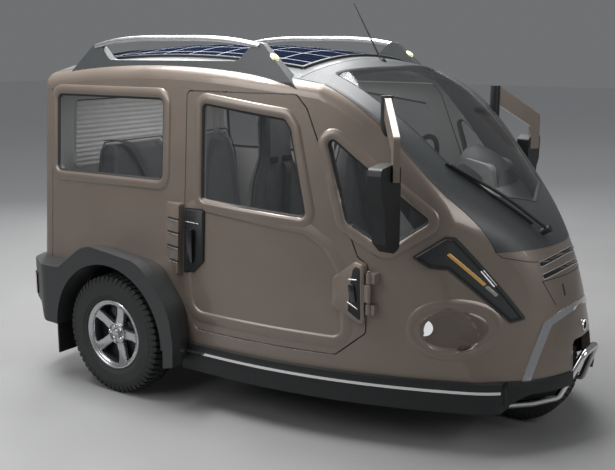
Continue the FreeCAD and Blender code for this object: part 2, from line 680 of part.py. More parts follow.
def tyre_shape(radius, width, seat):
    """Tyre section turned about the axle: bead, bulging wall, shoulder, flat crown."""
    near = [(width / 2 - RIM_LIP, seat)]
    near += [(width / 2 * share, seat + (radius - seat) * rise) for share, rise in TYRE_SECTION]
    far = [(-y, r) for y, r in reversed(near[:-1])]
    section = Part.makePolygon([Vector(0, y, r) for y, r in near + far + near[:1]])
    return Part.Face(section).revolve(Vector(0, 0, 0), Vector(0, 1, 0), 360)


def rim_shape(width, seat, hub_bore, dish):
    """Barrel with lips, hub and wide spokes; the spokes stand out at +Y."""
    bead = width / 2 - RIM_LIP

    def turned(points):
        wire = rounded(points, 0, in_yz(0.0))
        return Part.Face(wire).revolve(Vector(0, 0, 0), Vector(0, 1, 0), 360)

    barrel = turned(((-bead, seat), (-bead - 3, seat + 6), (-bead - 9, seat + 6),
                     (-bead - 9, seat - 10), (bead + 9, seat - 10), (bead + 9, seat + 6),
                     (bead + 3, seat + 6), (bead, seat)))
    hub = turned(((dish - 60, hub_bore), (dish + 6, hub_bore), (dish + 6, 34), (dish, 46),
                  (dish - 60, 46)))
    spokes = []
    count = int(S.spoke_count)
    for i in range(count):
        blade = prism(rounded(((-30, 38), (30, 38), (22, seat - 5), (-22, seat - 5)), 0,
                              lambda a, b: Vector(a, dish - 22, b)), Vector(0, 18, 0))
        blade.rotate(Vector(0, 0, 0), Vector(0, 1, 0), 360.0 / count * i + 18)
        spokes.append(blade)
    solid = barrel.fuse([hub] + spokes)
    return solid.cut(Part.makeCylinder(hub_bore, 400, Vector(0, -200, 0), Vector(0, 1, 0)))


rear_tyre = tyre_shape(S.rear_tyre_radius, S.rear_tyre_width, S.rear_rim_radius)
rear_rim = rim_shape(S.rear_tyre_width, S.rear_rim_radius, S.axle_radius + S.bearing_gap, 45)
rear_y = S.rear_tyre_face - S.rear_tyre_width / 2
for side_name, sign in (("left", 1), ("right", -1)):
    for piece_name, shape in (("tyre", rear_tyre), ("rim", rear_rim)):
        placed = shape.copy()
        if sign < 0:
            placed.rotate(Vector(0, 0, 0), Vector(0, 0, 1), 180)
        placed.translate(Vector(0, sign * rear_y, S.rear_tyre_radius))
        feature("rear_%s_%s" % (piece_name, side_name), placed)

front_tyre = tyre_shape(S.front_tyre_radius, S.front_tyre_width, S.front_rim_radius)
front_rim = rim_shape(S.front_tyre_width, S.front_rim_radius, 12 + S.bearing_gap, 40)
for piece_name, shape in (("front_tyre", front_tyre), ("front_rim", front_rim)):
    shape.translate(front_hub)
    feature(piece_name, shape)

# Front fork, built upright at the hub and leaned by the castor angle
leg_y = S.front_tyre_width / 2 + 25
fork_parts = [Part.makeCylinder(12, 2 * leg_y + 20, Vector(0, -leg_y - 10, 0), Vector(0, 1, 0)),
              slab(-35, 35, -leg_y - 18, leg_y + 18, 288, 320),
              Part.makeCylinder(20, 105, Vector(0, 0, 320))]
for y in (-leg_y, leg_y):
    fork_parts.append(Part.makeCylinder(16, 290, Vector(0, y, 0)))
fork = fork_parts[0].fuse(fork_parts[1:])
fork.rotate(Vector(0, 0, 0), Vector(0, 1, 0), -S.castor)
fork.translate(front_hub)
feature("front_fork", fork)

# Cabin
SEAT = ((600, 400, 20), (1080, 430, 50), (1075, 500, 40), (745, 490, 60), (640, 1090, 60),
        (625, 1370, 50), (560, 1370, 50), (530, 900, 60))
seat_shape = across(SEAT, 20, 110, 560)
feature("front_seats", both(seat_shape))
feature("seat_bases", both(slab(640, 1040, 160, 510, S.floor_top, 402).cut(seat_shape)))
BENCH = ((-395, S.deck_top, 10), (60, S.deck_top, 10), (65, 600, 40), (-250, 590, 60),
         (-330, 1150, 40), (-420, 1150, 40))
bench_shape = across(BENCH, 20, -560, 560)
feature("rear_bench", bench_shape)
DASH = fore(((-460, 800, 30), (-280, 665, 20), (0, 665, 20), (0, 730, 20), (-220, 985, 60),
        (-410, 1020, 60)))
inner_room = hull(S.wall + S.seat_gap, 255.0, False)
dash = across(DASH, 30, -560, 560).common(inner_room)
HUMP = fore(((-445, 950, 20), (-220, 950, 20), (-260, 1085, 60), (-410, 1120, 40)))
hump = across(HUMP, 30, 180, 450).common(inner_room)
wheel_centre = Vector(S.wheelbase - 715, 330, 1015)
wheel_lean = math.radians(18)
column_way = Vector(math.cos(wheel_lean), 0, -math.sin(wheel_lean))
column = Part.makeCylinder(24, 290, wheel_centre + column_way * (30 + S.seat_gap), column_way)
dash = dash.fuse([hump, column]).cut(well)
feature("dashboard", dash)

wheel_tilt = FreeCAD.Rotation(Vector(0, 1, 0), math.degrees(wheel_lean) - 90)
grip = DOC.addObject("Part::RegularPolygon", "steering_section")
bind(grip, Polygon="8", Circumradius="15")
grip.Placement = FreeCAD.Placement(Vector(180, 0, 0), FreeCAD.Rotation(Vector(1, 0, 0), 90))
ring_part = DOC.addObject("Part::Revolution", "steering_rim")
ring_part.Source = grip
ring_part.Axis = Vector(0, 0, 1)
ring_part.Angle = 360
ring_part.Solid = True
boss = cylinder("steering_boss", "45", "40", ("0", "0", "-30"))
spoke_a = box("steering_spoke_a", ("350", "36", "14"), ("-175", "-18", "-14"))
steering = fuse("steering_wheel", [ring_part, boss, spoke_a])
steering.Placement = FreeCAD.Placement(wheel_centre, wheel_tilt)
steering.Label = "steering_wheel"
bind(steering, Placement__Base__x="wheelbase - 715 + (rear_reach - wheelbase - front_overhang) / 2")
PARTS["steering_wheel"] = steering

# Roof rails: dark bases with a tower at each end, bright bars between the towers
RAIL = ((-500, 1440, 5), (-300, 1632, 30), (-262, 1642, 12), (-228, 1606, 30), (-180, 1560, 50),
        (600, 1564, 50), (648, 1612, 30), (690, 1644, 12), (725, 1638, 20), (985, 1400, 5))
rail_out, rail_in = 626, 562
rail_lean = 48
rail_face = ((rail_out + 20, 1480), (rail_out + 20, 1700), (rail_out - rail_lean, 1700),
             (rail_out, 1480))
rail = across(RAIL, 20, rail_in, rail_out).cut(OUTER)
rail = rail.cut(prism(rounded(rail_face, 0, in_yz(-900.0)), Vector(2500, 0, 0)))
feature("rail_bases", both(rail))
bar_y = (rail_in + rail_out) / 2 - 8
bar = rod([Vector(-285, bar_y, 1624), Vector(-120, bar_y, 1652), Vector(20, bar_y, 1660),
           Vector(400, bar_y, 1660), Vector(560, bar_y, 1650), Vector(705, bar_y, 1628)], 13, 600)
feature("rail_bars", both(bar.cut(rail)))

# Lamps
lamp_slope = Vector(0.68, 0, 0.73)
roof_lamp = Part.makeSphere(20, Vector(785, (rail_in + rail_out) / 2 - 4, 1577)).cut(rail)
roof_lamp = roof_lamp.common(Part.makeCylinder(30, 12, Vector(785, bar_y + 4, 1577), lamp_slope))
feature("roof_lamps", both(roof_lamp))
SIGNAL = fore(((-260, 798), (-137, 888), (-108, 884), (130, 540), (83, 527), (-124, 752),
          (-190, 757)))
signal = hull(-6, S.sill_level).cut(OUTER).common(across(SIGNAL, 8, 100, 900))
feature("side_signals", both(signal))

# Mirrors: a black stub on the screen surround, a flat cranked arm, a tapered housing
mirror_foot = Vector(S.wheelbase - 402, 532, 1240)
stub = Part.makeCylinder(24, 195, mirror_foot).cut(OUTER)
arm_way = Vector(S.wheelbase - 262, 702, 1240) - mirror_foot
arm_turn = math.atan2(arm_way.y, arm_way.x)
ARM = ((-8, 1425, 6), (24, 1428, 10), (arm_way.Length + 26, 1288, 24), (arm_way.Length + 26, 1120, 6),
       (arm_way.Length - 22, 1120, 6), (arm_way.Length - 22, 1232, 16), (24, 1338, 10), (-8, 1345, 6))
arm = across(ARM, 10, -13, 13)
arm.rotate(Vector(0, 0, 0), Vector(0, 0, 1), math.degrees(arm_turn))
arm.translate(Vector(mirror_foot.x, mirror_foot.y, 0))
arm = arm.cut(OUTER).cut(stub)
feature("mirror_arms", both(arm))
HOUSING = ((650, 1170, 14), (700, 1190, 20), (800, 1178, 14), (806, 1150, 14), (800, 1062, 20),
           (772, 1020, 20), (762, 884, 16), (700, 836, 20), (652, 852, 14))
housing = prism(rounded(HOUSING, 10, in_yz(S.wheelbase - 325)), Vector(60, 0, 0)).cut(arm)
feature("mirror_housings", both(housing.fuse(stub)))

antenna = Part.makeCone(5, 2, 300, Vector(960, 0, 1560), Vector(-0.5, 0, 0.86)).cut(OUTER)
feature("antenna", antenna)


def on_screen(y, z, proud):
    """Point at a height proud of the front of the body, by its place across and its height."""
    probe = line(Vector(800, y, z), Vector(front_tip, y, z)).common(OUTER)
    return Vector(probe.BoundBox.XMax, y, z) + Vector(0.77, 0, 0.64) * proud


wiper_foot = on_screen(-110, 868, 0)
spindle = Part.makeCylinder(15, 62, wiper_foot - Vector(20, 0, 10), Vector(0.85, 0, 0.52)).cut(OUTER)
wiper_arm = rod([on_screen(-110, 868, 26), on_screen(-240, 1005, 32), on_screen(-380, 1150, 12)], 7)
feature("wiper", wiper_arm.fuse(spindle))
handle = across(((352, 912, 10), (466, 915, 12), (470, 680, 12), (410, 622, 12), (356, 622, 10)),
                10, 300, 900)
handle_skin = hull(-8, S.sill_level).cut(OUTER).common(handle)
feature("door_handle_left", side_of(handle_skin, True))
feature("door_handle_right", mirrored(side_of(handle_skin, True)))

# Checks, then one file per sub-part
DOC.recompute()
faults = []
for obj in DOC.Objects:
    if "Invalid" in obj.State or "Error" in obj.State:
        faults.append("%s: state %s" % (obj.Name, obj.State))
for node, obj in PARTS.items():
    shape = obj.Shape
    if shape.isNull() or not shape.isValid() or not shape.Solids:
        faults.append("%s: shape null, invalid or empty" % node)
if faults:
    raise RuntimeError("; ".join(faults))

os.makedirs("parts", exist_ok=True)
for node, obj in PARTS.items():
    obj.Shape.exportStep("parts/%s.step" % node)
    print("%-20s %2d solids %10.0f cm3" % (node, len(obj.Shape.Solids), obj.Shape.Volume / 1000))
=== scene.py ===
"""Looks of the electric tricycle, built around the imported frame. Metres, X forwards, Z up."""
import json
from functools import partial
from math import atan2, cos, pi, radians, sin, tan, tau

import bmesh
import bpy
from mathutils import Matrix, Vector
from mathutils.bvhtree import BVHTree

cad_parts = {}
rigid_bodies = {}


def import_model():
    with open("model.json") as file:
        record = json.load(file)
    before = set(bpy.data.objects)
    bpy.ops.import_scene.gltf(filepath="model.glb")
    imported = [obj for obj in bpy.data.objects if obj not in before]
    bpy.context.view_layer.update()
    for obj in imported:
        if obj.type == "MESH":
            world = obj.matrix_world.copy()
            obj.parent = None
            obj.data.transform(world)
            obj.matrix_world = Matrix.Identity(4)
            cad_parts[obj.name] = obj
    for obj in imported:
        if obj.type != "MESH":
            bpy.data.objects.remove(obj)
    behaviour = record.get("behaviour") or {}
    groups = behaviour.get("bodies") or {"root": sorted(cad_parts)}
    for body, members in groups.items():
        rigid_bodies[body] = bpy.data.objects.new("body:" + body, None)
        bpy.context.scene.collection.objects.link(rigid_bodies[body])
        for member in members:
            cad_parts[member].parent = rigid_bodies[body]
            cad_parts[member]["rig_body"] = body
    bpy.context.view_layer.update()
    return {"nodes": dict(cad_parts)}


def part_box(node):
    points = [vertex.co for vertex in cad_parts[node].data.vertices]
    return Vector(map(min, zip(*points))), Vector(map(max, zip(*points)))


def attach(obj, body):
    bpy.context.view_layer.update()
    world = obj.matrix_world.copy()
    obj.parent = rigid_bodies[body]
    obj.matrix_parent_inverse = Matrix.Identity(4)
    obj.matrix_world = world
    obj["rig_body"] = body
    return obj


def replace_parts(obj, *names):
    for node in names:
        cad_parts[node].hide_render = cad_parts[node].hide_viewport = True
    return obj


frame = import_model()
NODES = frame["nodes"]
SCENE = bpy.context.scene
AXLE = -0.671           # the rear axle along X; lengths below are taken from it
FRONT_AXLE = 1.7
SIDES = (("right", -1), ("left", 1))
AXES = (Vector((1, 0, 0)), Vector((0, 1, 0)), Vector((0, 0, 1)))
FORWARD, LEFT, UP = AXES
SHARP = radians(38)


def at(x, y, z):
    return Vector((x + AXLE, y, z))


def mm(*rows):
    """A table of lengths written in millimetres."""
    return tuple(tuple(length / 1000 for length in row) for row in rows)


def placed(name, data):
    """A new object in the scene."""
    obj = bpy.data.objects.new(name, data)
    SCENE.collection.objects.link(obj)
    return obj


def looking(way):
    """Rotation of a camera or lamp that looks along a way."""
    return way.to_track_quat("-Z", "Y").to_euler()


# Camera, at the photograph's place

camera_data = bpy.data.cameras.new("camera")
camera_data.lens = 54.91
camera_data.sensor_width = 36.0
camera = placed("camera", camera_data)
camera.location = (2.51, -3.815, 1.648)
camera.rotation_euler = looking(Vector((-0.5565, 0.8058, -0.2025)))
SCENE.camera = camera


# Materials

ROUGH_SPREAD = 0.06         # how far roughness varies about its middle
GRAIN = 12                  # how much finer the bump is than the colour noise
WORN_FROM, WORN_TO = 0.52, 0.62     # pointiness of edges that wear


def parts_of(material):
    tree = material.node_tree
    return tree, tree.nodes["Principled BSDF"]


def blank(name):
    m = bpy.data.materials.new(name)
    m.use_nodes = True
    return (m, *parts_of(m))


def feed(node, inputs):
    """Gives inputs of a shader node their values, or the sockets that feed them."""
    for label, value in inputs.items():
        if isinstance(value, bpy.types.NodeSocket):
            node.id_data.links.new(value, node.inputs[label])
        else:
            node.inputs[label].default_value = value
    return node


def add(tree, kind, inputs, **settings):
    node = tree.nodes.new("ShaderNode" + kind)
    for label, value in settings.items():
        setattr(node, label, value)
    return feed(node, inputs)


def place_in(tree):
    return add(tree, "TexCoord", {}).outputs["Object"]


def maths(tree, operation, a, b):
    return add(tree, "Math", {0: a, 1: b}, operation=operation).outputs[0]


def mixed(tree, share, a, b):
    return add(tree, "Mix", {"Factor": share, "A": a, "B": b}, data_type="RGBA").outputs["Result"]


def relief(tree, height, strength, distance):
    return add(tree, "Bump", {"Strength": strength, "Distance": distance,
                              "Height": height}).outputs["Normal"]


def surface(name, colour, rough, metal=0.0, vary=0.06, scale=40.0, bump=0.02, coat=0.0,
            wear=0.0, coat_rough=0.05, specular=0.5):
    """Procedural finish: colour and roughness that vary a little, with a fine bump."""
    m, tree, shader = blank(name)
    coords = place_in(tree)
    noise = add(tree, "TexNoise", {"Scale": scale, "Detail": 4.0, "Vector": coords}).outputs["Fac"]
    ramp = add(tree, "ValToRGB", {"Fac": noise})
    for element, position, share in zip(ramp.color_ramp.elements, (0.3, 0.7), (1 - vary, 1 + vary)):
        element.color = (*[min(1.0, c * share) for c in colour], 1)
        element.position = position
    base = ramp.outputs["Color"]
    if wear:
        edge = add(tree, "ValToRGB", {"Fac": add(tree, "NewGeometry", {}).outputs["Pointiness"]})
        for element, position in zip(edge.color_ramp.elements, (WORN_FROM, WORN_TO)):
            element.position = position
        base = mixed(tree, maths(tree, "MULTIPLY", edge.outputs["Color"], wear), base,
                     (*[min(1.0, c * 2.2 + 0.03) for c in colour], 1))
    spread = add(tree, "MapRange", {"Value": noise, "To Min": max(0.02, rough - ROUGH_SPREAD),
                                    "To Max": min(1.0, rough + ROUGH_SPREAD)})
    feed(shader, {"Metallic": metal, "Coat Weight": coat, "Coat Roughness": coat_rough,
                  "Specular IOR Level": specular, "Base Color": base,
                  "Roughness": spread.outputs["Result"]})
    if bump:
        grain = add(tree, "TexNoise", {"Scale": scale * GRAIN, "Detail": 3.0, "Vector": coords})
        feed(shader, {"Normal": relief(tree, grain.outputs["Fac"], bump, 0.001)})
    return m


def woven(name, colour, pitch=420.0, depth=0.5):
    """Fabric: crossed sets of threads with uneven colour."""
    m = surface(name, colour, 0.85, vary=0.14, scale=18.0, bump=0)
    tree, shader = parts_of(m)
    coords = place_in(tree)
    waves = [add(tree, "TexWave", {"Scale": pitch, "Distortion": 0.6, "Vector": coords},
                 bands_direction=axis).outputs["Fac"] for axis in "XYZ"]
    height = maths(tree, "ADD", maths(tree, "ADD", waves[0], waves[1]), waves[2])
    feed(shader, {"Sheen Weight": 0.3, "Normal": relief(tree, height, depth, 0.0006)})
    return m


def flake(name, colour):
    """Metallic paint: fine flakes in the relief under a clear coat."""
    m = surface(name, colour, 0.36, metal=0.35, vary=0.03, scale=6.0, bump=0, coat=0.6,
                coat_rough=0.06)
    tree, shader = parts_of(m)
    cells = add(tree, "TexVoronoi", {"Scale": 900.0, "Vector": place_in(tree)})
    feed(shader, {"Normal": relief(tree, cells.outputs["Color"], 0.06, 0.0004)})
    return m


def pane(name, colour, alpha):
    m = surface(name, colour, 0.05, vary=0.03, scale=3.0, bump=0, specular=0.9)
    feed(parts_of(m)[1], {"Alpha": alpha, "Coat Weight": 1.0, "Coat Roughness": 0.02})
    return m


def lit(name, colour, glow):
    m = surface(name, colour, 0.15, vary=0.05, scale=120.0, bump=0.05, coat=0.8)
    feed(parts_of(m)[1], {"Emission Color": (*colour, 1), "Emission Strength": glow})
    return m


CELL_ALONG, CELL_ACROSS, BUS = 0.165, 0.156, 0.052      # pitches of the cells and their bus bars


def solar_cells(name):
    """Dark cells with pale lines between them and thin bus bars along them."""
    m, tree, shader = blank(name)
    split = add(tree, "SeparateXYZ", {"Vector": place_in(tree)})

    def comb(axis, pitch, offset, width):
        shifted = maths(tree, "ADD", split.outputs[axis], offset)
        return maths(tree, "LESS_THAN", maths(tree, "PINGPONG", shifted, pitch / 2), width / 2)

    cells = mixed(tree, comb("Y", BUS, 0.026, 0.0012), (0.005, 0.007, 0.016, 1),
                  (0.035, 0.04, 0.055, 1))
    grid = maths(tree, "MAXIMUM", comb("X", CELL_ALONG, 0.481, 0.0045),
                 comb("Y", CELL_ACROSS, 0.078, 0.0045))
    feed(shader, {"Base Color": mixed(tree, grid, cells, (0.4, 0.43, 0.47, 1)),
                  "Roughness": 0.55, "Specular IOR Level": 0.0})
    return m


CABIN_MIDDLE = (0.0, 0.0, 0.9)


def lined(base, name, colour):
    """The same finish outside, and a soft lining on faces that look into the cabin."""
    m = base.copy()
    m.name = name
    tree, shader = parts_of(m)
    coords = add(tree, "TexCoord", {}).outputs
    out = add(tree, "VectorMath", {0: coords["Object"], 1: CABIN_MIDDLE}, operation="SUBTRACT")
    facing = add(tree, "VectorMath", {0: out.outputs["Vector"], 1: coords["Normal"]},
                 operation="DOT_PRODUCT")
    inside = maths(tree, "LESS_THAN", facing.outputs["Value"], -0.01)
    painted = shader.inputs["Base Color"].links[0].from_socket
    feed(shader, {"Base Color": mixed(tree, inside, painted, (*colour, 1))})
    for label in ("Coat Weight", "Metallic"):
        blend = add(tree, "Mix", {"A": shader.inputs[label].default_value, "B": 0.0,
                                  "Factor": inside})
        feed(shader, {label: blend.outputs["Result"]})
    return m


PAINT = flake("taupe_paint", (0.185, 0.15, 0.124))
# darker paint for the headlamp bowl: painted shade in the lamp recess
BOWL_SHADE_PAINT = flake("bowl_painted_shade", (0.125, 0.098, 0.079))
PAINT_LINED = lined(PAINT, "taupe_paint_lined", (0.46, 0.46, 0.45))
TRIM = surface("dark_trim", (0.024, 0.026, 0.027), 0.42, vary=0.08, bump=0.12, wear=0.06)
COWL = surface("cowl_grey", (0.04, 0.044, 0.046), 0.38, bump=0.05)
ROOF = surface("roof_grey", (0.085, 0.092, 0.094), 0.4, vary=0.05, bump=0.06, coat=0.15)
ROOF_LINED = lined(ROOF, "roof_grey_lined", (0.5, 0.5, 0.49))
BLACK = surface("black_plastic", (0.01, 0.011, 0.012), 0.45, vary=0.12, bump=0.2, wear=0.04,
                specular=0.4)
GLOSS_BLACK = surface("gloss_black", (0.01, 0.01, 0.012), 0.14, vary=0.1, bump=0, coat=0.7)
CHASSIS = surface("chassis_black", (0.022, 0.022, 0.024), 0.42, vary=0.1, bump=0.1, wear=0.15)
CHROME = surface("bright_metal", (0.78, 0.78, 0.79), 0.09, metal=1.0, vary=0.02, bump=0.01)
SATIN = surface("satin_metal", (0.66, 0.67, 0.68), 0.27, metal=1.0, vary=0.03, bump=0.05)
BAR = surface("polished_bar", (0.7, 0.7, 0.7), 0.3, metal=1.0, vary=0.02, bump=0)
ALLOY = surface("rim_alloy", (0.5, 0.51, 0.52), 0.26, metal=0.9, vary=0.05, bump=0.04, coat=0.3)
DARK_ALLOY = surface("dark_alloy", (0.05, 0.051, 0.054), 0.38, metal=0.8, bump=0.05)
CAST = surface("motor_cast", (0.2, 0.2, 0.21), 0.55, metal=0.7, vary=0.12, bump=0.3)
RUBBER = surface("tyre_rubber", (0.022, 0.023, 0.023), 0.78, vary=0.16, scale=24, bump=0.3)
SEAL = surface("seal_rubber", (0.01, 0.01, 0.011), 0.6, vary=0.1, bump=0.1)
GLASS = pane("grey_glass", (0.045, 0.05, 0.052), 0.2)
CLEAR = pane("clear_cover", (0.8, 0.8, 0.78), 0.35)
SOLAR = solar_cells("solar_cells")
AMBER = lit("amber_lens", (0.55, 0.3, 0.06), 0.06)
YELLOW = lit("yellow_lamp", (0.92, 0.88, 0.5), 0.35)
WHITE_LAMP = lit("white_lamp", (0.85, 0.87, 0.86), 0.25)
SMOKED = lit("smoked_lens", (0.055, 0.006, 0.006), 0.0)
RED = lit("red_lens", (0.42, 0.012, 0.012), 0.03)
FABRIC = woven("seat_fabric", (0.115, 0.115, 0.118))
DARK_FABRIC = woven("dark_fabric", (0.05, 0.05, 0.052))
WEBBING = woven("belt_webbing", (0.02, 0.02, 0.021), pitch=700.0, depth=0.8)
DASH = surface("dash_soft", (0.26, 0.265, 0.265), 0.6, vary=0.05, bump=0.25)
DASH_DARK = surface("dash_dark", (0.035, 0.036, 0.038), 0.55, vary=0.08, bump=0.2)
LINING = surface("lining_grey", (0.66, 0.66, 0.65), 0.8, vary=0.05, bump=0.2)
CARPET = woven("floor_carpet", (0.05, 0.05, 0.05), pitch=260.0, depth=0.9)

# The CAD nodes of each finish; the others are black plastic
FINISHES = (
    (PAINT_LINED, "body_shell door_right door_left tailgate"),
    (PAINT, "nose_cap mirror_arms door_hinges"),
    (ROOF_LINED, "roof_panel"),
    (COWL, "screen_surround rail_bases"),
    (TRIM, "arch_flares rear_bumper side_signals"),
    (CHASSIS, "floor_pan front_frame battery_pack rear_axle front_fork"),
    (GLASS, "windscreen side_glass door_glass_right door_glass_left tailgate_glass"),
    (CHROME, "nose_trim sill_strips nose_ring front_bar"),
    (SATIN, "rail_bars"), (CAST, "drive_motor"), (SOLAR, "solar_panel"), (DASH, "dashboard"),
    (SEAL, "mud_flaps antenna wiper"),
    (RUBBER, "rear_tyre_left rear_tyre_right front_tyre"),
    (ALLOY, "rear_rim_left rear_rim_right front_rim"),
    (FABRIC, "front_seats rear_bench"),
    (SMOKED, "tail_lamps"), (YELLOW, "roof_lamps"), (WHITE_LAMP, "headlamps"),
)
FINISH = {node: finish for finish, group in FINISHES for node in group.split()}
for node_name, obj in NODES.items():
    finish = FINISH.get(node_name, BLACK)
    for slot in obj.material_slots:
        slot.material = finish
    if not obj.material_slots:
        obj.data.materials.append(finish)


# Light and floor

world = bpy.data.worlds.new("world")
SCENE.world = world
world.use_nodes = True
feed(world.node_tree.nodes["Background"], {"Color": (0.8, 0.82, 0.85, 1), "Strength": 0.2})

# name, place, target, size, watts
SOFTBOXES = (
    ("top_light", (-0.6, 0.3, 4.2), (0, 0, 0.8), (4.5, 3.0), 340),
    ("key_light", (-1.6, -4.2, 3.0), (-0.3, 0, 0.8), (3.0, 2.2), 72),
    ("rim_light", (-3.2, 3.0, 3.0), (0, 0, 1.0), (2.5, 2.0), 110),
    ("nose_light", (4.4, -0.6, 2.6), (0.8, 0, 0.8), (2.0, 2.0), 45),
    ("edge_light", (-1.7, -1.15, 4.0), (0.0, -0.6, 1.4), (2.6, 0.35), 120),
    ("cabin_light", (-0.45, 0, 1.44), (-0.45, 0, 0.5), (1.1, 0.8), 7),
)
for name, place, target, size, power in SOFTBOXES:
    lamp = bpy.data.lights.new(name, "AREA")
    lamp.shape = "RECTANGLE"
    lamp.size, lamp.size_y = size
    lamp.energy = power
    softbox = placed(name, lamp)
    softbox.location = place
    softbox.rotation_euler = looking(Vector(target) - Vector(place))

FADE_FROM, FADE_TO = 2.0, 11.0      # where the floor turns from grey to white
floor_mesh = bpy.data.meshes.new("floor")
floor_form = bmesh.new()
bmesh.ops.create_grid(floor_form, x_segments=2, y_segments=2, size=30)
floor_form.to_mesh(floor_mesh)
floor_form.free()
floor = placed("floor", floor_mesh)
floor.location.z = -0.0005
floor_finish = surface("floor_pale", (0.24, 0.24, 0.24), 0.55, vary=0.03, scale=2.0)
floor_tree, floor_shader = parts_of(floor_finish)
reach = add(floor_tree, "VectorMath", {0: place_in(floor_tree)}, operation="LENGTH")
fade = add(floor_tree, "MapRange", {"From Min": FADE_FROM, "From Max": FADE_TO,
                                    "Value": reach.outputs["Value"]},
           interpolation_type="SMOOTHSTEP")
near_colour = floor_shader.inputs["Base Color"].links[0].from_socket
feed(floor_shader, {"Base Color": mixed(floor_tree, fade.outputs["Result"], near_colour,
                                        (0.88, 0.89, 0.9, 1))})
floor_mesh.materials.append(floor_finish)

SCENE.view_settings.view_transform = "Standard"


# Mesh helpers

def piece(name, form, material, body="chassis", smooth=True):
    """Turns a bmesh into a piece that rides on a body and takes a material slot."""
    mesh = bpy.data.meshes.new(name)
    bmesh.ops.recalc_face_normals(form, faces=form.faces)
    form.to_mesh(mesh)
    form.free()
    for polygon in mesh.polygons:
        polygon.use_smooth = smooth
    obj = placed(name, mesh)
    mesh.set_sharp_from_angle(angle=SHARP)
    mesh.materials.append(material)
    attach(obj, body)
    return obj


def shell(name, rings, material, body="chassis", smooth=True):
    """A piece swept over rings."""
    form = bmesh.new()
    sweep(form, rings)
    return piece(name, form, material, body, smooth=smooth)


def lump(name, centre, size, edge, material, body="chassis"):
    """A piece that is one block."""
    form = bmesh.new()
    block(form, centre, size, edge)
    piece(name, form, material, body)


def skin(*names):
    """Search tree over the faces of some CAD nodes."""
    points, faces = [], []
    for name in names:
        base = len(points)
        mesh = NODES[name].data
        points.extend(v.co.copy() for v in mesh.vertices)
        faces.extend([base + i for i in p.vertices] for p in mesh.polygons)
    return BVHTree.FromPolygons(points, faces)


def seen(tree, start, way):
    """First point of a skin along a way, and the normal that looks back."""
    hit, normal, _, _ = tree.ray_cast(start, way)
    if hit is None:
        return None, None
    return hit, normal if normal.dot(way) < 0 else -normal


BODY_SKIN = skin("body_shell", "door_right", "door_left", "tailgate", "side_glass", "nose_cap",
                 "door_glass_right", "door_glass_left", "screen_surround", "roof_panel")
GAP_REACH = 0.009       # how far beside a point the skin is looked for, over a shut gap
GAP_DEPTH = 0.012       # how much further out it has to lie there
BESIDE, ABOVE, IN_FRONT, BEHIND = 2.0, 2.5, 2.4, -1.2       # where the rays start


def on_side(x, z, side):
    """Point and outward normal on the body side, x from the rear axle; shut gaps are bridged."""
    best = None
    for dx, dz in ((0, 0), (GAP_REACH, 0), (-GAP_REACH, 0), (0, GAP_REACH), (0, -GAP_REACH)):
        hit, normal = seen(BODY_SKIN, at(x + dx, side * BESIDE, z + dz), -side * LEFT)
        if hit and (best is None or side * (hit.y - best[0].y) > GAP_DEPTH):
            best = (Vector((x + AXLE, hit.y, z)), normal)
    return best


def on_top(tree, x, y):
    return seen(tree, at(x, y, ABOVE), -UP)


def on_front(tree, y, z):
    return seen(tree, at(IN_FRONT, y, z), -FORWARD)


def on_back(tree, y, z):
    return seen(tree, at(BEHIND, y, z), FORWARD)


def sweep(form, rings, closed=False):
    """Skin over closed rings of points; an open path gets flat ends."""
    rows = [[form.verts.new(p) for p in ring] for ring in rings]
    for i in range(len(rows) if closed else len(rows) - 1):
        a, b = rows[i], rows[(i + 1) % len(rows)]
        for j in range(len(a)):
            k = (j + 1) % len(a)
            form.faces.new((a[j], a[k], b[k], b[j]))
    if not closed:
        form.faces.new(rows[0])
        form.faces.new(list(reversed(rows[-1])))


def stack(form, rings):
    """Skin over outlines laid one on another, each end one flat face."""
    rows = [[form.verts.new(p) for p in ring] for ring in rings]
    for a, b in zip(rows, rows[1:]):
        for i in range(len(a)):
            k = (i + 1) % len(a)
            form.faces.new((a[i], a[k], b[k], b[i]))
    form.faces.new(rows[0])
    form.faces.new(rows[-1])


def eased(points, radius, step=0.012):
    """Evenly spaced points along an outline with rounded corners; a point may carry its radius."""
    bends = []
    for i, point in enumerate(points):
        here = Vector(point[:2])
        a = Vector(points[i - 1][:2]) - here
        b = Vector(points[(i + 1) % len(points)][:2]) - here
        half = a.angle(b) / 2
        r = point[2] if len(point) > 2 else radius
        reach = min(r / tan(half), 0.49 * a.length, 0.49 * b.length)
        a.normalize()
        b.normalize()
        r = reach * tan(half)
        centre = here + (a + b).normalized() * (r / sin(half))
        u, v = here + a * reach - centre, here + b * reach - centre
        first = atan2(u.y, u.x)
        turn = (atan2(v.y, v.x) - first + pi) % tau - pi
        steps = max(3, int(abs(turn) * r / step) + 1)
        for k in range(steps + 1):
            angle = first + turn * k / steps
            bends.append(centre + Vector((cos(angle), sin(angle))) * r)
    line = []
    for i, p in enumerate(bends):
        q = bends[(i + 1) % len(bends)]
        n = max(1, round((q - p).length / step))
        line += [p.lerp(q, k / n) for k in range(n) if (q - p).length > 1e-5]
    return line


def outward(line, closed=True):
    """Unit normals of a line, out of a closed outline or to the right of an open one."""
    area = sum(p.x * q.y - q.x * p.y for p, q in zip(line, line[1:] + line[:1]))
    turn = 1 if area > 0 or not closed else -1
    normals = []
    for i in range(len(line)):
        before = line[i - 1] if closed or i else line[0]
        after = line[(i + 1) % len(line)] if closed or i + 1 < len(line) else line[-1]
        way = (after - before).normalized()
        normals.append(Vector((way.y, -way.x)) * turn)
    return normals


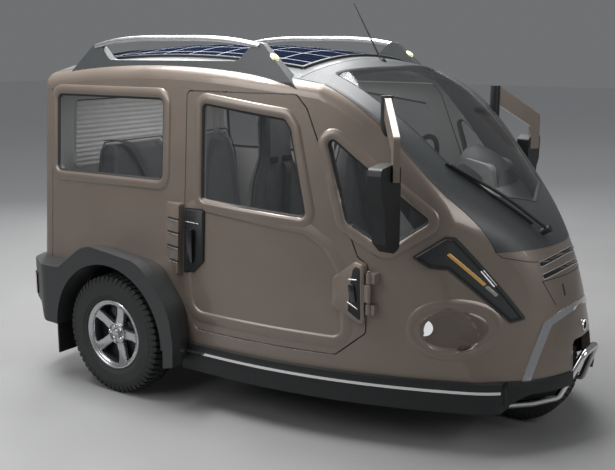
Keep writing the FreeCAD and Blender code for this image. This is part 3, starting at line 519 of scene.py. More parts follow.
def smoothed(points, steps=8):
    """Points along a smooth curve through the given ones."""
    line = []
    for i in range(len(points) - 1):
        p0 = Vector(points[max(i - 1, 0)])
        p1, p2 = Vector(points[i]), Vector(points[i + 1])
        p3 = Vector(points[min(i + 2, len(points) - 1)])
        for k in range(steps):
            t = k / steps
            line.append(((2 * p1) + (p2 - p0) * t + (2 * p0 - 5 * p1 + 4 * p2 - p3) * t * t
                         + (3 * p1 - p0 - 3 * p2 + p3) * t ** 3) * 0.5)
    return line + [Vector(points[-1])]


def course(points, i):
    """Unit way along a line at one of its points."""
    return (points[min(i + 1, len(points) - 1)] - points[max(i - 1, 0)]).normalized()


LOOK = 0.012            # how far out of a line the lie of the skin is taken


def band(name, line, profile, place, material, body="chassis", closed=True, lead=0.01):
    """A moulding along a line: its profile gives out-of-line and proud-of-skin pairs."""
    form = bmesh.new()
    rings = []
    for p, n in zip(line, outward(line, closed)):
        base, normal = place(*(p + n * lead))
        ahead, _ = place(*(p + n * (lead + LOOK)))
        way = (ahead - base).normalized()
        rings.append([base + way * (out - lead) + normal * proud for out, proud in profile])
    sweep(form, rings, closed)
    piece(name, form, material, body)


def proud_of(hit, rise):
    return hit[0] + hit[1] * rise


def plate(name, line, place, material, low, high, edge=0.003, body="chassis"):
    """A patch with a bevelled edge that follows the skin inside an outline."""
    form = bmesh.new()
    inset = [p - n * edge for p, n in zip(line, outward(line))]
    stack(form, [[proud_of(place(*p), rise) for p in path]
                 for path, rise in ((line, low), (line, high - edge * 0.6), (inset, high))])
    piece(name, form, material, body)


def ribbon(name, a, b, half, place, material, low, high, body="chassis"):
    """Flat bar between two points of the side view, following the skin."""
    way = (Vector(b) - Vector(a)).normalized()
    n = Vector((-way.y, way.x)) * half
    corners = [Vector(a) + n, Vector(b) + n, Vector(b) - n, Vector(a) - n]
    plate(name, eased(corners, half * 0.6, 0.008), place, material, low, high, 0.0012, body)


def rounds(steps):
    """Cosines and sines of even steps round a circle."""
    return [(cos(tau * k / steps), sin(tau * k / steps)) for k in range(steps)]


def turned(form, hub, profile, steps, side=1, upright=False):
    """Rings of (along, radius) pairs about the Y or the upright axis through the hub."""
    sweep(form, [[hub + Vector((r * c, r * s, a) if upright else (r * s, side * a, r * c))
                  for a, r in profile] for c, s in rounds(steps)], True)


def bar_along(form, points, radius, sides):
    """Round bar through points."""
    rings = []
    for i, p in enumerate(points):
        way = course(points, i)
        a = way.cross(UP if abs(way.z) < 0.95 else FORWARD).normalized()
        b = way.cross(a)
        rings.append([p + (a * c + b * s) * radius for c, s in rounds(sides)])
    sweep(form, rings)


def block(form, centre, size, edge, axes=AXES):
    """Box on three unit axes with its corners cut back by an edge width."""
    made = bmesh.ops.create_cube(form, size=1.0)["verts"]
    for v in made:
        v.co = centre + sum((axes[i] * (v.co[i] * size[i]) for i in range(3)), Vector())
    edges = {e for v in made for e in v.link_edges}
    bmesh.ops.bevel(form, geom=list(edges), offset=edge, segments=2, profile=0.6, affect="EDGES")


# Mouldings round the windows and along the doors

FRAME_PROFILE = mm((-4, -12), (-4, 0.5), (2, 5.5), (10, 7), (28, 6.2), (37, 3.5), (43, -2.5),
                   (20, -12))
SEAL_PROFILE = mm((-14, -6.2), (-12, -4.5), (-3, 1), (0, 1.2), (0, -10), (-14, -10))
RECESS_PROFILE = mm((-2, -3), (4, 2.2), (12, 5), (22, 5.2), (50, 1.6), (62, -2), (30, -6))
QUARTER = mm((-508, 1400), (212, 1400), (212, 1015), (-508, 1012))
DOOR_WINDOW = mm((432, 1388), (880, 1335), (912, 1290), (1000, 918), (438, 948))
KITE = mm((1050, 1305), (1514, 943), (1337, 815), (1164, 920))
DOOR_FIELD = mm((400, 600), (400, 905, 30), (985, 855, 40), (1075, 800, 50), (1150, 690, 50),
                (1165, 445, 30), (420, 452, 60))

for hand, side in SIDES:
    beside = partial(on_side, side=side)
    door = "door_" + hand
    for label, outline, radius, body in (("quarter", QUARTER, 0.034, "chassis"),
                                         ("door_window", DOOR_WINDOW, 0.028, door),
                                         ("kite", KITE, 0.026, "chassis")):
        around = eased(outline, radius)
        band("%s_frame_%s" % (label, hand), around, FRAME_PROFILE, beside, PAINT, body)
        band("%s_seal_%s" % (label, hand), around, SEAL_PROFILE, beside, SEAL, body)
    band("door_field_" + hand, eased(DOOR_FIELD, 0.03), RECESS_PROFILE, beside, PAINT, door)


# Side details: handles, hinge pods, signals, lamp bowls

SIGNAL_SKIN = skin("side_signals")
EDGE_PROFILE = mm((-4, -2), (-3, 2.8), (1, 3.4), (4, 1.5), (5, -6), (-3, -6))
BOWL_PROFILE = mm((-6, -6), (-3, 0.5), (4, 3.4), (13, 4), (26, 1.8), (36, -3), (12, -8))
BOWL_PLACE = (1.6, 0.507)
BOWL_RIM, BOWL_HALF = (0.141, 0.097), (0.128, 0.084)
BOWL_SHARES = (0.95, 0.91, 0.8, 0.66, 0.5, 0.34, 0.16)
SIGNAL = mm((1440, 798), (1563, 888), (1592, 884), (1830, 540), (1783, 527), (1576, 752),
            (1510, 757))
SIGNAL_EDGE = 0.012
HINGE_RECESS = mm((1163, 681), (1234, 752), (1256, 744), (1262, 528), (1250, 523), (1181, 563))
HINGE_POD = mm((1124, 690), (1226, 768), (1268, 760), (1274, 516), (1244, 506), (1124, 566))
HINGE_LINES = (((1.184, 0.69), (1.24, 0.694)), ((1.194, 0.594), (1.246, 0.571)))
POD_FACE = 0.6475           # the pod's face, out from the middle
HANDLE_RECESS = mm((356, 905), (462, 908), (468, 690), (410, 626), (356, 612))
HANDLE_BLOCK = mm((244, 930), (341, 930), (341, 600), (300, 606), (244, 700))
BLOCK_REAR, BLOCK_LENGTH, BLOCK_WEDGE = 0.244, 0.097, 0.016
LOUVRES = ((0.262, 0.852), (0.262, 0.79), (0.262, 0.726), (0.283, 0.662))      # start, height
LOUVRE_END = 0.338


def oval(centre, radii, steps=72):
    return [Vector((centre[0] + radii[0] * c, centre[1] + radii[1] * s)) for c, s in rounds(steps)]


def wedge(x):
    """How much the handle block stands out further towards the door."""
    return BLOCK_WEDGE * (x - BLOCK_REAR) / BLOCK_LENGTH


for hand, side in SIDES:
    beside = partial(on_side, side=side)
    door = "door_" + hand

    def on_signal(x, z, side=side):
        hit, normal = seen(SIGNAL_SKIN, at(x, side * BESIDE, z), -side * LEFT)
        return (hit, normal) if hit else on_side(x, z, side)

    def on_pod(x, z, side=side):
        hit, _ = on_side(x, z, side)
        return Vector((x + AXLE, side * max(POD_FACE, hit.y * side + 0.002), z)), side * LEFT

    def on_block(x, z, side=side):
        hit, up = on_side(x, z, side)
        return hit + up * (0.016 + wedge(x)), up

    rim_line = eased(SIGNAL, 0.008)
    inner = [p - n * SIGNAL_EDGE for p, n in zip(rim_line, outward(rim_line))]
    band("signal_rim_" + hand, inner, EDGE_PROFILE, on_signal, SEAL)
    for label, a, b, half, material, high in (
            ("amber", (1.572, 0.818), (1.69, 0.685), 0.0058, AMBER, 0.0032),
            ("clear", (1.694, 0.68), (1.73, 0.64), 0.0058, CLEAR, 0.0032),
            ("marker", (1.676, 0.745), (1.722, 0.678), 0.0055, WHITE_LAMP, 0.003)):
        ribbon("signal_%s_%s" % (label, hand), a, b, half, on_signal, material, -0.001, high)
    band("lamp_bowl_rim_" + hand, oval(BOWL_PLACE, BOWL_RIM), BOWL_PROFILE, beside, PAINT)
    # the bowl's hollow: a dish of the darker paint laid just proud of the scoop, painted shade in the
    # bowl
    rings = []
    for share in BOWL_SHARES:
        line = oval(BOWL_PLACE, [half * share for half in BOWL_HALF], 48)
        rise = 0.0012 if share < BOWL_SHARES[0] else -0.002
        rings.append([proud_of(beside(*p), rise) for p in line])
    shell("lamp_bowl_" + hand, rings, BOWL_SHADE_PAINT)

    # hinge pod over the strap: body-coloured block, dark recess in it, two bright lines, a grip
    plate("hinge_pod_" + hand, eased(HINGE_POD, 0.014), on_pod, PAINT, -0.03, 0.0025, 0.006,
          door)
    around = eased(HINGE_RECESS, 0.008)
    plate("hinge_recess_" + hand, around, on_pod, BLACK, -0.004, 0.0032, body=door)
    band("hinge_border_" + hand, around, EDGE_PROFILE, on_pod, PAINT, door, lead=0.002)
    for index, (a, b) in enumerate(HINGE_LINES):
        ribbon("hinge_line_%d_%s" % (index, hand), a, b, 0.0026, on_pod, CHROME, 0.002, 0.0058,
               door)
    ribbon("hinge_grip_" + hand, (1.212, 0.672), (1.224, 0.596), 0.014, on_pod, GLOSS_BLACK,
           0.002, 0.008, door)

    # handle: a dark pull on the door and a louvred block on the body
    plate("handle_recess_" + hand, eased(HANDLE_RECESS, 0.01), beside, BLACK, -0.002, 0.0105,
          0.004, door)
    pull = bmesh.new()
    foot, normal = beside(0.404, 0.745)
    for dz in (0.066, -0.066):
        block(pull, foot + normal * 0.016 + Vector((0, 0, dz)), (0.026, 0.026, 0.022), 0.006)
    block(pull, foot + normal * 0.026, (0.03, 0.011, 0.156), 0.005)
    piece("handle_pull_" + hand, pull, GLOSS_BLACK, door)
    ribbon("handle_line_" + hand, (0.36, 0.85), (0.44, 0.846), 0.0018, beside, SATIN, 0.008,
           0.0125, door)
    lower = bmesh.new()
    path = eased(HANDLE_BLOCK, 0.012, 0.01)
    rings = []
    for inset, rise in ((0.0, 0.0), (0.0, 0.35), (0.004, 0.93), (0.01, 1.0)):
        inner = [p - n * inset for p, n in zip(path, outward(path))]
        rings.append([proud_of(beside(*q), (0.018 + wedge(q.x)) * rise - 0.002) for q in inner])
    stack(lower, rings)
    piece("handle_block_" + hand, lower, PAINT)
    for index, (start, height) in enumerate(LOUVRES):
        ribbon("louvre_%d_%s" % (index, hand), (start, height), (LOUVRE_END, height - 0.004),
               0.0028, on_block, SATIN, -0.003, 0.0022)
        ribbon("louvre_slot_%d_%s" % (index, hand), (start, height + 0.0075),
               (LOUVRE_END, height + 0.0035), 0.0045, on_block, BLACK, -0.004, 0.0006)


# Front: seams, seals, hood vents, flap, wiper blade

FRONT_SKIN = skin("body_shell", "screen_surround", "windscreen", "roof_panel", "nose_cap")
THIN_PROFILE = mm((-1.2, -2), (-1.2, 2.2), (0.4, 3), (2.4, 2), (2.4, -4))
LINE_PROFILE = mm((-1.6, -4), (-1.6, 0.7), (0, 1), (1.6, 0.7), (1.6, -4))
HALF_SKIN = mm((-588, 597.5), (-200, 597.5), (300, 597.5), (700, 597.5), (1130, 570), (1330, 538),
               (1494, 495), (1618, 426), (1735, 336), (1835, 205), (1869, 70))
HALF_SCREEN = mm((985, 452, 30), (1200, 452, 200), (1480, 375, 200), (1655, 262, 30))
VENTS = ((0.7755, 0.75), (0.726, 0.7005))        # height in the middle and at the ends
VENT_HALF, FLAP_HALF, FLAP_TOP = 0.205, 0.206, 0.684
on_roof = partial(on_top, FRONT_SKIN)
ahead = partial(on_front, FRONT_SKIN)


def seam(name, line, place):
    """Thin dark line along an open path."""
    band(name, line, LINE_PROFILE, place, SEAL, closed=False, lead=0.002)


seam("skin_seam", smoothed(HALF_SKIN + tuple((x, -y) for x, y in reversed(HALF_SKIN))), on_roof)
screen = (HALF_SCREEN + ((1.735, 0.0, 0.06),)
          + tuple((x, -y, r) for x, y, r in reversed(HALF_SCREEN)) + ((1.035, 0.0, 0.9),))
band("screen_seal", eased(screen, 0.03), SEAL_PROFILE, on_roof, SEAL)
seam("header_seam", [Vector((0.905, y / 20 * 0.595)) for y in range(-20, 21)], on_roof)

for index, (middle, low) in enumerate(VENTS):
    arch = [(y, low + (middle - low) * (1 - (y / VENT_HALF) ** 2),
             0.01 - 0.0015 * (1 - abs(y) / 0.2))
            for y in (-0.2, -0.15, -0.1, -0.05, 0.0, 0.05, 0.1, 0.15, 0.2)]
    outline = ([(y, z - h, 0.004) for y, z, h in arch]
               + [(y, z + h, 0.004) for y, z, h in reversed(arch)])
    around = eased(outline, 0.004, 0.008)
    plate("hood_vent_%d" % index, around, ahead, BLACK, -0.004, 0.001, 0.002)
    band("hood_vent_rim_%d" % index, around, THIN_PROFILE, ahead, CHROME, lead=0.0)
for hand, side in SIDES:
    edge_line = [Vector((side * (FLAP_HALF - 0.037 * k / 8), FLAP_TOP - 0.1 * k / 8))
                 for k in range(9)]
    seam("flap_seam_" + hand, edge_line[::-side], ahead)
seam("flap_top_seam", [Vector((y / 10 * FLAP_HALF, FLAP_TOP + 0.01 * (1 - (y / 10) ** 2)))
                       for y in range(-10, 11)], ahead)
FLAP_GRIP = mm((-103, 612), (-113, 612), (-111, 662), (-101, 662))
plate("flap_grip", eased(FLAP_GRIP, 0.004, 0.006), ahead, BLACK, -0.002, 0.001, 0.001)

blade = bmesh.new()
BLADE_STEPS = 14
run = [ahead(-0.15 - 0.235 * k / BLADE_STEPS, 0.905 + 0.255 * k / BLADE_STEPS)
       for k in range(BLADE_STEPS + 1)]
run_points = [p for p, _ in run]
for lift, half_width in ((0.0035, 0.0022), (0.0085, 0.0048)):
    rings = []
    for i, (p, n) in enumerate(run):
        across = course(run_points, i).cross(n)
        c = p + n * lift
        rings.append([c + across * a * half_width + n * b * 0.0028
                      for a, b in ((-1, -1), (1, -1), (0.7, 1), (-0.7, 1))])
    sweep(blade, rings)
piece("wiper_blade", blade, SEAL)


# Wheels: treaded tyres and five-spoked rims

# shares of the half width and of the height above the rim
TYRE_HALF = ((0.7, 0.0), (0.78, 0.015), (0.84, 0.06), (0.86, 0.1), (0.895, 0.115),
             (0.955, 0.25), (0.965, 0.262), (0.975, 0.258), (0.995, 0.48), (0.985, 0.64),
             (0.975, 0.645), (0.965, 0.7), (0.93, 0.8), (0.86, 0.89), (0.74, 0.915),
             (0.3, 0.925))
SPOKE = ((-1.0, -0.02), (-1.0, -0.005), (-0.86, 0.0), (-0.55, -0.0018), (0.55, -0.0018),
         (0.86, 0.0), (1.0, -0.005), (1.0, -0.02))
NUT = mm((0, 6.5), (8, 6.5), (10, 5), (10, 0.4), (0, 0.4))
NUT_CIRCLE = 0.035
SPOKES, FIRST_SPOKE = 5, radians(18)


def lug(form, hub, section, start, end, skew, side):
    """Tread block: a section of (across, radius) points swept between two angles."""
    rings = []
    for k in range(4):
        angle = start + (end - start) * k / 3
        rings.append([hub + Vector(((r * sin(angle + skew * abs(y))), y * side,
                                    r * cos(angle + skew * abs(y)))) for y, r in section])
    sweep(form, rings)


def tyre(name, node, hub, radius, width, seat, pitches):
    form = bmesh.new()
    half = width / 2
    rise = radius - seat
    near = [(half * share, seat + rise * up) for share, up in TYRE_HALF]
    inside = [(-half * 0.6, seat + 0.004), (half * 0.6, seat + 0.004)]
    turned(form, hub, near + [(-a, r) for a, r in reversed(near)] + inside, 120)
    top, low = radius - 0.0006, radius - 0.011

    def tread(inner, outer):
        return [(half * share, r) for share, r in ((inner, low), (inner, top), (outer, top),
                                                   (outer, low))]

    shoulder = ((half * 0.56, low), (half * 0.56, top), (half * 0.86, top - 0.004),
                (half * 0.955, top - 0.019), (half * 0.968, top - 0.034),
                (half * 0.9, low - 0.022))
    pitch = tau / pitches
    for i in range(pitches):
        for side in (1, -1):
            # section, start, end, skew
            for section, start, end, skew in ((shoulder, 0.0, 0.66, 0.8 * side),
                                              (tread(0.31, 0.52), 0.3, 0.94, -1.6),
                                              (tread(0.06, 0.27), 0.05, 0.8, 1.8)):
                base = pitch * (i + (0.5 if side < 0 else 0.0))
                lug(form, hub, section, base + pitch * start, base + pitch * end, skew, side)
    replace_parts(piece(name, form, RUBBER, NODES[node]["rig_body"]), node)


def rim(name, node, hub, seat, width, side, dish):
    """Polished lip, dark barrel, five wide spokes and a hub with recessed nuts; faces side * Y."""
    face = width / 2 - 0.009
    body = NODES[node]["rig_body"]
    barrel = bmesh.new()
    turned(barrel, hub, (
        (-face, seat + 0.006), (-face, seat - 0.01), (-face + 0.03, seat - 0.018),
        (0.0, seat - 0.028), (face - 0.035, seat - 0.02), (face - 0.014, seat - 0.013),
        (face - 0.014, seat + 0.004), (face - 0.04, seat - 0.006), (0.0, seat - 0.01),
        (-face + 0.04, seat - 0.006), (-face + 0.008, seat + 0.004)), 72, side)
    turned(barrel, hub, (
        (dish - 0.04, seat - 0.016), (dish - 0.034, seat - 0.018), (dish - 0.032, 0.075),
        (dish - 0.026, 0.068), (dish - 0.026, 0.05), (dish - 0.045, 0.05),
        (dish - 0.046, seat - 0.02)), 60, side)
    piece(name + "_barrel", barrel, DARK_ALLOY, body)
    form = bmesh.new()
    turned(form, hub, (
        (face - 0.015, seat + 0.005), (face - 0.003, seat + 0.0075), (face, seat + 0.005),
        (face, seat - 0.001), (face - 0.003, seat - 0.004), (face - 0.004, seat - 0.012),
        (face - 0.008, seat - 0.016), (face - 0.02, seat - 0.018), (face - 0.022, seat - 0.014)),
        96, side)
    for i in range(SPOKES):
        angle = tau * i / SPOKES + FIRST_SPOKE
        out = Vector((sin(angle), 0, cos(angle)))
        cross = Vector((cos(angle), 0, -sin(angle)))
        rings = []
        for r, wide, y in ((0.04, 0.025, dish - 0.002), (0.06, 0.0235, dish),
                           (0.5 * (seat + 0.03), 0.0225, dish + 0.002),
                           (seat - 0.03, 0.0245, face - 0.018),
                           (seat - 0.012, 0.028, face - 0.01)):
            rings.append([hub + out * r + cross * (wide * a) + Vector((0, side * (y + b), 0))
                          for a, b in SPOKE])
        sweep(form, rings)
    turned(form, hub, (
        (dish - 0.03, 0.054), (dish - 0.002, 0.054), (dish + 0.005, 0.05), (dish + 0.005, 0.047),
        (dish - 0.003, 0.044), (dish - 0.004, 0.026), (dish + 0.012, 0.023), (dish + 0.014, 0.019),
        (dish + 0.011, 0.015), (dish + 0.011, 0.0005), (dish - 0.03, 0.0005)), 48, side)
    made = piece(name, form, ALLOY, body)
    nuts = bmesh.new()
    for i in range(SPOKES):
        angle = tau * (i + 0.5) / SPOKES + FIRST_SPOKE
        spot = hub + Vector((sin(angle) * NUT_CIRCLE, side * (dish - 0.004),
                             cos(angle) * NUT_CIRCLE))
        turned(nuts, spot, NUT, 6, side)
    piece(name + "_nuts", nuts, CHROME, body)
    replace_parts(made, node)


REAR_RADIUS, REAR_WIDTH, REAR_SEAT = 0.285, 0.165, 0.16
FRONT_RADIUS, FRONT_WIDTH, FRONT_SEAT = 0.245, 0.155, 0.128
REAR_Y = 0.844 - REAR_WIDTH / 2
for hand, side in SIDES:
    hub = at(0.0, side * REAR_Y, REAR_RADIUS)
    tyre("tyre_rear_" + hand, "rear_tyre_" + hand, hub, REAR_RADIUS, REAR_WIDTH,
         REAR_SEAT, 58)
    rim("rim_rear_" + hand, "rear_rim_" + hand, hub, REAR_SEAT, REAR_WIDTH, side, 0.045)
front_hub = at(FRONT_AXLE, 0.0, FRONT_RADIUS)
tyre("tyre_front", "front_tyre", front_hub, FRONT_RADIUS, FRONT_WIDTH, FRONT_SEAT, 52)
rim("rim_front", "front_rim", front_hub, FRONT_SEAT, FRONT_WIDTH, 1, 0.04)


# Roof: smooth rail bars, lamp caps, edge of the solar panel, antenna foot

RAIL = mm((-292, 1622), (-200, 1640), (-120, 1651.5), (20, 1660), (210, 1660.5), (400, 1660),
          (560, 1650), (705, 1628))
RAIL_Y, LAMP_Y = 0.586, 0.59
LAMP_RINGS = mm((-2, 24), (4, 24.5), (8, 21), (10.5, 12), (11.2, 2))
for hand, side in SIDES:
    bars = bmesh.new()
    bar_along(bars, [at(p.x, side * RAIL_Y, p.y) for p in smoothed(RAIL, 6)], 0.0128, 14)
    rail = piece("rail_bar_" + hand, bars, BAR)
    if side < 0:
        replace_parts(rail, "rail_bars")
    slope = Vector((0.68, 0.0, 0.73)).normalized()
    spot = at(0.784, side * LAMP_Y, 1.578)
    flat = slope.cross(LEFT).normalized()
    shell("roof_lamp_lens_" + hand,
          [[spot + slope * rise + (flat * c + LEFT * s * 0.72) * radius for c, s in rounds(24)]
           for rise, radius in LAMP_RINGS], YELLOW)

PANEL = mm((-470, -470), (850, -470), (850, 470), (-470, 470))
PANEL_EDGE = mm((-12, -2), (-12, 1.2), (-2, 3), (2, 1.2), (3, -9))
PANEL_SKIN = skin("solar_panel", "roof_panel")


def on_panel(x, y):
    return on_top(PANEL_SKIN, x if abs(x) < 0.849 else 0.849, max(-0.469, min(0.469, y)))


band("solar_edge", eased(PANEL, 0.004, 0.03), PANEL_EDGE, on_panel, CHASSIS, lead=-0.004)
foot = bmesh.new()
turned(foot, at(0.966, 0, 1.548), ((0.0, 0.02), (0.01, 0.019), (0.02, 0.012), (0.026, 0.008),
                                   (0.026, 0.0005), (0.0, 0.0005)), 24, upright=True)
piece("antenna_foot", foot, SEAL)


# Rear: lamp bars, light strips, latch, window frame and heater lines

LAMP_LEAN = (0.72, 0.69)
LID_FACE = -0.64
for hand, side in SIDES:
    housing = bmesh.new()
    centre = Vector((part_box("tail_lamps")[0].x + 0.02, side * 0.716, 0.4475))
    lean = Vector((LAMP_LEAN[0], side * LAMP_LEAN[1], 0)).normalized()
    across = Vector((-lean.y, lean.x, 0))
    for k in range(3):
        block(housing, centre + Vector((0, 0, -0.032 + 0.032 * k)) + across * side * 0.006,
              (0.06, 0.01, 0.006), 0.002, (lean, across, UP))
    piece("tail_lamp_bars_" + hand, housing, CHROME)
    lump("tail_strip_" + hand, at(LID_FACE, side * 0.585, 0.66), (0.014, 0.06, 0.15), 0.005,
         RED, "tailgate")
lump("tail_latch", at(LID_FACE, 0, 0.94), (0.016, 0.16, 0.034), 0.006, BLACK, "tailgate")

WINDOW_LOW, WINDOW_HEIGHT = 1.0, 0.35
TAIL_WINDOW = mm((-500, 1000), (500, 1000), (470, 1350), (-470, 1350))
HEATER_LINES, HEATER_PITCH, HEATER_X = 13, 0.023, -0.622


def half_at(z, low, less):
    """Half width of what lies behind the tail window, which narrows upwards."""
    return low - less * (z - WINDOW_LOW) / WINDOW_HEIGHT


behind = partial(on_back, skin("tailgate", "tailgate_glass"))
around = eased(TAIL_WINDOW, 0.04, 0.02)
band("tail_frame", around, FRAME_PROFILE, behind, PAINT, "tailgate")
band("tail_seal", around, SEAL_PROFILE, behind, SEAL, "tailgate")
for k in range(HEATER_LINES):
    z = 1.035 + HEATER_PITCH * k
    wire = bmesh.new()
    ends = half_at(z, 0.455, 0.03)
    bar_along(wire, [at(HEATER_X, ends * (i / 6 - 1), z) for i in range(13)], 0.0009, 6)
    piece("heater_line_%02d" % k, wire, CHASSIS, "tailgate")


# Bumper: its lower edge rises towards the nose, so the bright tube shows below it

BUMPER_SKIN = skin("front_bumper")
BUMPER_TOP, BUMPER_LOW, BUMPER_RISE = 0.2995, 0.176, 0.066
RISE_FROM, RISE_LENGTH = 1.76, 0.13
BUMPER_WALL = 0.014
BUMPER_START, BUMPER_TURN, BUMPER_STEPS = 99, 74, 40        # degrees from straight ahead
BUMPER_HEIGHTS = (0.29, 0.262, 0.234, 0.206, 0.19)
bumper = bmesh.new()
for hand, side in SIDES:
    rings = []
    for k in range(BUMPER_STEPS + 1):
        angle = radians(BUMPER_START - BUMPER_TURN * (k / BUMPER_STEPS))
        way = Vector((cos(angle), side * sin(angle), 0))
        hits = [BUMPER_SKIN.ray_cast(at(FRONT_AXLE, 0, z) + way * 0.9, -way)[0]
                for z in BUMPER_HEIGHTS]
        if None in hits:
            continue
        forward = max(0.0, min(1.0, (hits[0].x - AXLE - RISE_FROM) / RISE_LENGTH))
        low = BUMPER_LOW + BUMPER_RISE * forward * forward * (3 - 2 * forward)
        outer = [Vector((hit.x, hit.y, BUMPER_TOP - (BUMPER_TOP - low) * j / 4))
                 for j, hit in enumerate(hits)]
        rings.append(outer + [p - way * BUMPER_WALL for p in reversed(outer)])
    sweep(bumper, rings)
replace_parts(piece("bumper_lip", bumper, BLACK), "front_bumper")


# Seats: lofted pads, swollen as cloth, with piping and belts

def between(rows, t):
    """Values of a table at t, taken straight between its rows."""
    for low, high in zip(rows, rows[1:]):
        if t <= high[0]:
            share = (t - low[0]) / (high[0] - low[0])
            return [a + (b - a) * share for a, b in zip(low[1:], high[1:])]
    return list(rows[-1][1:])


PAD_SECTION = ((-1.0, -0.25), (-0.9, -0.85), (-0.55, -1.0), (0.55, -1.0), (0.9, -0.85),
               (1.0, -0.25), (1.0, 0.55), (0.92, 1.0), (0.8, 1.05), (0.66, 0.72), (0.3, 0.58),
               (-0.3, 0.58), (-0.66, 0.72), (-0.8, 1.05), (-0.92, 1.0), (-1.0, 0.55))
VOXEL = 0.006
PAD_STEPS = 24
PAD_CAP = 0.01             # how far the cloth may move
PRESSURE = 4.0
FRAMES = 20


def swell(obj):
    """Cloth blown up from inside, moved no further than the cap."""
    count = len(obj.data.vertices)
    before = [0.0] * (3 * count)
    obj.data.vertices.foreach_get("co", before)
    cloth = obj.modifiers.new("cloth", "CLOTH")
    cloth.settings.quality = 4
    cloth.settings.use_pressure = True
    cloth.settings.uniform_pressure_force = PRESSURE
    cloth.settings.effector_weights.gravity = 0.0
    cloth.point_cache.frame_start = 1
    cloth.point_cache.frame_end = FRAMES
    for frame_number in range(1, FRAMES + 1):
        SCENE.frame_set(frame_number)
    swollen = obj.evaluated_get(bpy.context.evaluated_depsgraph_get()).to_mesh()
    after = [0.0] * (3 * count)
    swollen.vertices.foreach_get("co", after)
    obj.modifiers.remove(cloth)
    for i in range(0, 3 * count, 3):
        move = Vector([after[i + k] - before[i + k] for k in range(3)])
        if move.length > PAD_CAP:
            move *= PAD_CAP / move.length
        after[i:i + 3] = [before[i + k] + move[k] for k in range(3)]
    obj.data.vertices.foreach_set("co", after)
    obj.data.update()
    SCENE.frame_set(1)


def softened(obj):
    for polygon in obj.data.polygons:
        polygon.use_smooth = True


def settle(obj):
    """Replaces an object's mesh by what its modifiers make of it."""
    depsgraph = bpy.context.evaluated_depsgraph_get()
    made = bpy.data.meshes.new_from_object(obj.evaluated_get(depsgraph))
    obj.modifiers.clear()
    obj.data = made
    softened(obj)


def pads(name, rows, along, offset, node, finish):
    """A pad lofted through rows of (place, centre, half depth, half width), and its twin."""
    rings = []
    for k in range(PAD_STEPS + 1):
        t = rows[0][0] + (rows[-1][0] - rows[0][0]) * k / PAD_STEPS
        centre, depth, wide = between(rows, t)
        rings.append([at(centre + w * depth, offset + u * wide, t) if along == "Z"
                      else at(t, offset + u * wide, centre + w * depth) for u, w in PAD_SECTION])
    pad = shell(name + "_left", rings, finish)
    voxels = pad.modifiers.new("voxels", "REMESH")
    voxels.mode = "VOXEL"
    voxels.voxel_size = VOXEL
    settle(pad)
    swell(pad)
    even = pad.modifiers.new("even", "SMOOTH")
    even.factor = 0.5
    even.iterations = 5
    settle(pad)
    twin_form = bmesh.new()
    twin_form.from_mesh(pad.data)
    for v in twin_form.verts:
        v.co.y = -v.co.y
    twin = piece(name + "_right", twin_form, finish)
    softened(twin)
    if node:
        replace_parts(pad, node)


SEAT_BACK = mm((440, 670, 46, 165), (500, 664, 50, 190), (700, 634, 52, 206), (900, 603, 48, 202),
               (1020, 594, 42, 172), (1090, 591, 36, 130), (1140, 591, 30, 106),
               (1300, 592, 28, 104), (1345, 592, 24, 88), (1362, 592, 14, 64))
SEAT_BASE = mm((690, 452, 34, 190), (780, 450, 38, 205), (950, 456, 36, 208), (1040, 462, 32, 200),
               (1066, 462, 20, 180))
BENCH_BACK = mm((600, -325, 54, 262), (800, -348, 48, 265), (1000, -366, 42, 262),
                (1100, -374, 32, 235), (1136, -376, 18, 200))
BENCH_BASE = mm((-245, 530, 56, 262), (-150, 530, 56, 266), (0, 532, 54, 264), (50, 532, 36, 250))
SEAT_Y, BENCH_Y = 0.335, 0.275
pads("seat_back", SEAT_BACK, "Z", SEAT_Y, "front_seats", FABRIC)
pads("seat_base", SEAT_BASE, "X", SEAT_Y, None, FABRIC)
pads("bench_back", BENCH_BACK, "Z", BENCH_Y, "rear_bench", DARK_FABRIC)
pads("bench_base", BENCH_BASE, "X", BENCH_Y, None, DARK_FABRIC)

BELT_WIDTH, BELT_HALF_THICK = 0.046, 0.0013
PILLAR_X, PILLAR_Y = 0.345, 0.6
PIPING_RADIUS = 0.0035


def webbing(name, points, across):
    """Flat belt through points, its width along a given way."""
    rings = []
    half = across * (BELT_WIDTH / 2)
    for i, p in enumerate(points):
        lift = course(points, i).cross(across).normalized() * BELT_HALF_THICK
        rings.append([p - half - lift, p + half - lift, p + half + lift, p - half + lift])
    shell(name, rings, WEBBING)


def piping(name, rows, offset, side):
    """Sewn edge along both flanks of a pad and over its top."""
    form = bmesh.new()
    run = []
    for k in range(31):
        t = rows[0][0] + 0.02 + (rows[-1][0] - rows[0][0] - 0.02) * k / 30
        centre, depth, wide = between(rows, t)
        run.append((centre + depth * 0.25, wide + 0.0065, t + (0.008 if k == 30 else 0.0)))
    path = [at(x, side * (offset + y), z) for x, y, z in run]
    path += [at(x, side * (offset - y), z) for x, y, z in reversed(run)]
    bar_along(form, path, PIPING_RADIUS, 8)
    piece(name, form, SEAL)


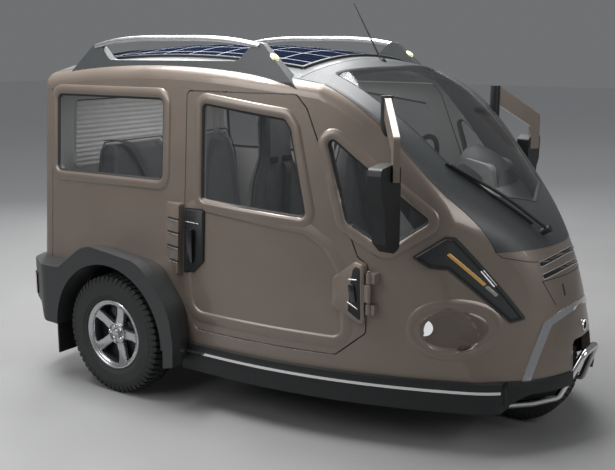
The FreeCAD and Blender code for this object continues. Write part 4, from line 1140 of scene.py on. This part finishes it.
for hand, side in SIDES:
    middle = side * SEAT_Y
    piping("seat_piping_" + hand, SEAT_BACK, SEAT_Y, side)
    piping("bench_piping_" + hand, BENCH_BACK, BENCH_Y, side)
    # shoulder slots of the seat, belts
    for index, off in enumerate((-0.052, 0.052)):
        lump("seat_slot_%d_%s" % (index, hand), at(0.5985, middle + off, 1.115),
             (0.07, 0.062, 0.03), 0.008, SEAL)
    shoulder = smoothed([(0.598, 1.11), (0.655, 1.075), (0.664, 0.96), (0.69, 0.76),
                         (0.715, 0.6)], 5)
    webbing("front_belt_" + hand, [at(p.x, middle - side * (0.05 - 0.1 * i / 20), p.y)
                                        for i, p in enumerate(shoulder)], LEFT)
    wall = [at(PILLAR_X - 0.02 * k / 8, side * (PILLAR_Y - 0.005 * k / 8), 1.33 - 0.86 * k / 8)
            for k in range(9)]
    webbing("pillar_belt_" + hand, wall, FORWARD)
    lump("belt_anchor_" + hand, at(PILLAR_X, side * PILLAR_Y, 1.345), (0.05, 0.026, 0.04), 0.006,
         BLACK)
    rear_belt = smoothed([(-0.405, 1.15), (-0.33, 1.12), (-0.312, 0.95), (-0.27, 0.65)], 5)
    webbing("bench_belt_" + hand, [at(p.x, side * (0.44 - 0.3 * i / 15), p.y)
                                        for i, p in enumerate(rear_belt)], LEFT)


# Steering wheel and blind

WHEEL_LEAN = radians(18)
WHEEL_RADIUS = 0.18
RIM_THICK, RIM_DEEP = 0.014, 0.0125        # half sizes of the rim's section
wheel_centre = at(0.985, 0.33, 1.015)
column = Vector((cos(WHEEL_LEAN), 0, -sin(WHEEL_LEAN)))
wheel_up = Vector((sin(WHEEL_LEAN), 0, cos(WHEEL_LEAN)))
wheel_form = bmesh.new()
rings = []
for up, left in rounds(72):
    out = wheel_up * up + LEFT * left
    rings.append([wheel_centre + out * (WHEEL_RADIUS + RIM_THICK * c) + column * (RIM_DEEP * s)
                  for c, s in rounds(14)])
sweep(wheel_form, rings, True)
for angle in (pi / 2, -pi / 2, pi):
    out = wheel_up * cos(angle) + LEFT * sin(angle)
    tangent = column.cross(out)
    rings = []
    for r, wide, deep in ((0.03, 0.03, 0.02), (0.08, 0.021, 0.022), (0.14, 0.015, 0.012),
                          (0.174, 0.018, 0.0)):
        c = wheel_centre + out * r + column * deep
        rings.append([c + tangent * (a * wide) + column * (b * 0.006)
                      for a, b in ((-1, -0.4), (-0.8, -1), (0.8, -1), (1, -0.4), (1, 1), (-1, 1))])
    sweep(wheel_form, rings)
sweep(wheel_form, [
    [wheel_centre + column * lift + (wheel_up * c * 0.046 + LEFT * s * 0.056) * share
     for c, s in rounds(28)]
    for lift, share in ((0.04, 0.6), (0.036, 0.9), (0.01, 1.0), (0.0, 0.9), (-0.006, 0.4))])
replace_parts(piece("steering_wheel_dressed", wheel_form, BLACK, NODES["steering_wheel"]["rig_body"]),
            "steering_wheel")

BLIND_X, BLIND_STEPS, SLAT = -0.592, 56, 0.005
rings = []
for k in range(BLIND_STEPS + 1):
    z = 1.006 + 0.338 * k / BLIND_STEPS
    depth = BLIND_X + (SLAT if k % 4 < 2 else 0.0)
    half_y = half_at(z, 0.487, 0.028)
    rings.append([at(depth, -half_y, z), at(depth, half_y, z), at(depth - 0.002, half_y, z),
                  at(depth - 0.002, -half_y, z)])
shell("rear_blind", rings, LINING, "tailgate", False)


# Instrument hood on the driver's side: a hollow fan that narrows towards the screen

HOOD_Y = 0.315
rings = []
for k in range(17):
    angle = pi * (k / 16)
    bulge = sin(angle)
    reach_y, reach_z = 0.15 * cos(angle), 0.175 * bulge ** 0.8
    rings.append([at(x, HOOD_Y + reach_y * wide, z + reach_z * high) for x, wide, z, high in (
        (1.268 + 0.012 * bulge, 1, 0.985, 1), (1.3 + 0.01 * bulge, 1.05, 0.985, 1.04),
        (1.4, 0.94, 0.98, 0.86), (1.47, 0.7, 0.975, 0.48))])
shell("instrument_hood", rings, DASH_DARK)


# Mirror glasses on the rear faces of the housings, mats in the footwells

MIRROR = mm((664, 1164), (702, 1178), (790, 1168), (796, 1146), (790, 1066), (762, 1024),
            (752, 888), (700, 848), (664, 860))
MAT_Y = 0.3
for hand, side in SIDES:
    def on_mirror(y, z, side=side):
        return at(1.375, side * y, z), -FORWARD

    plate("mirror_glass_" + hand, eased(MIRROR, 0.012), on_mirror, CHROME, -0.003, 0.002)
    mat = bmesh.new()
    block(mat, at(1.215, side * MAT_Y, 0.3025), (0.27, 0.38, 0.009), 0.004)
    for k in range(9):
        block(mat, at(1.105 + 0.0275 * k, side * MAT_Y, 0.3075), (0.008, 0.34, 0.004), 0.0015)
    piece("floor_mat_" + hand, mat, CARPET)
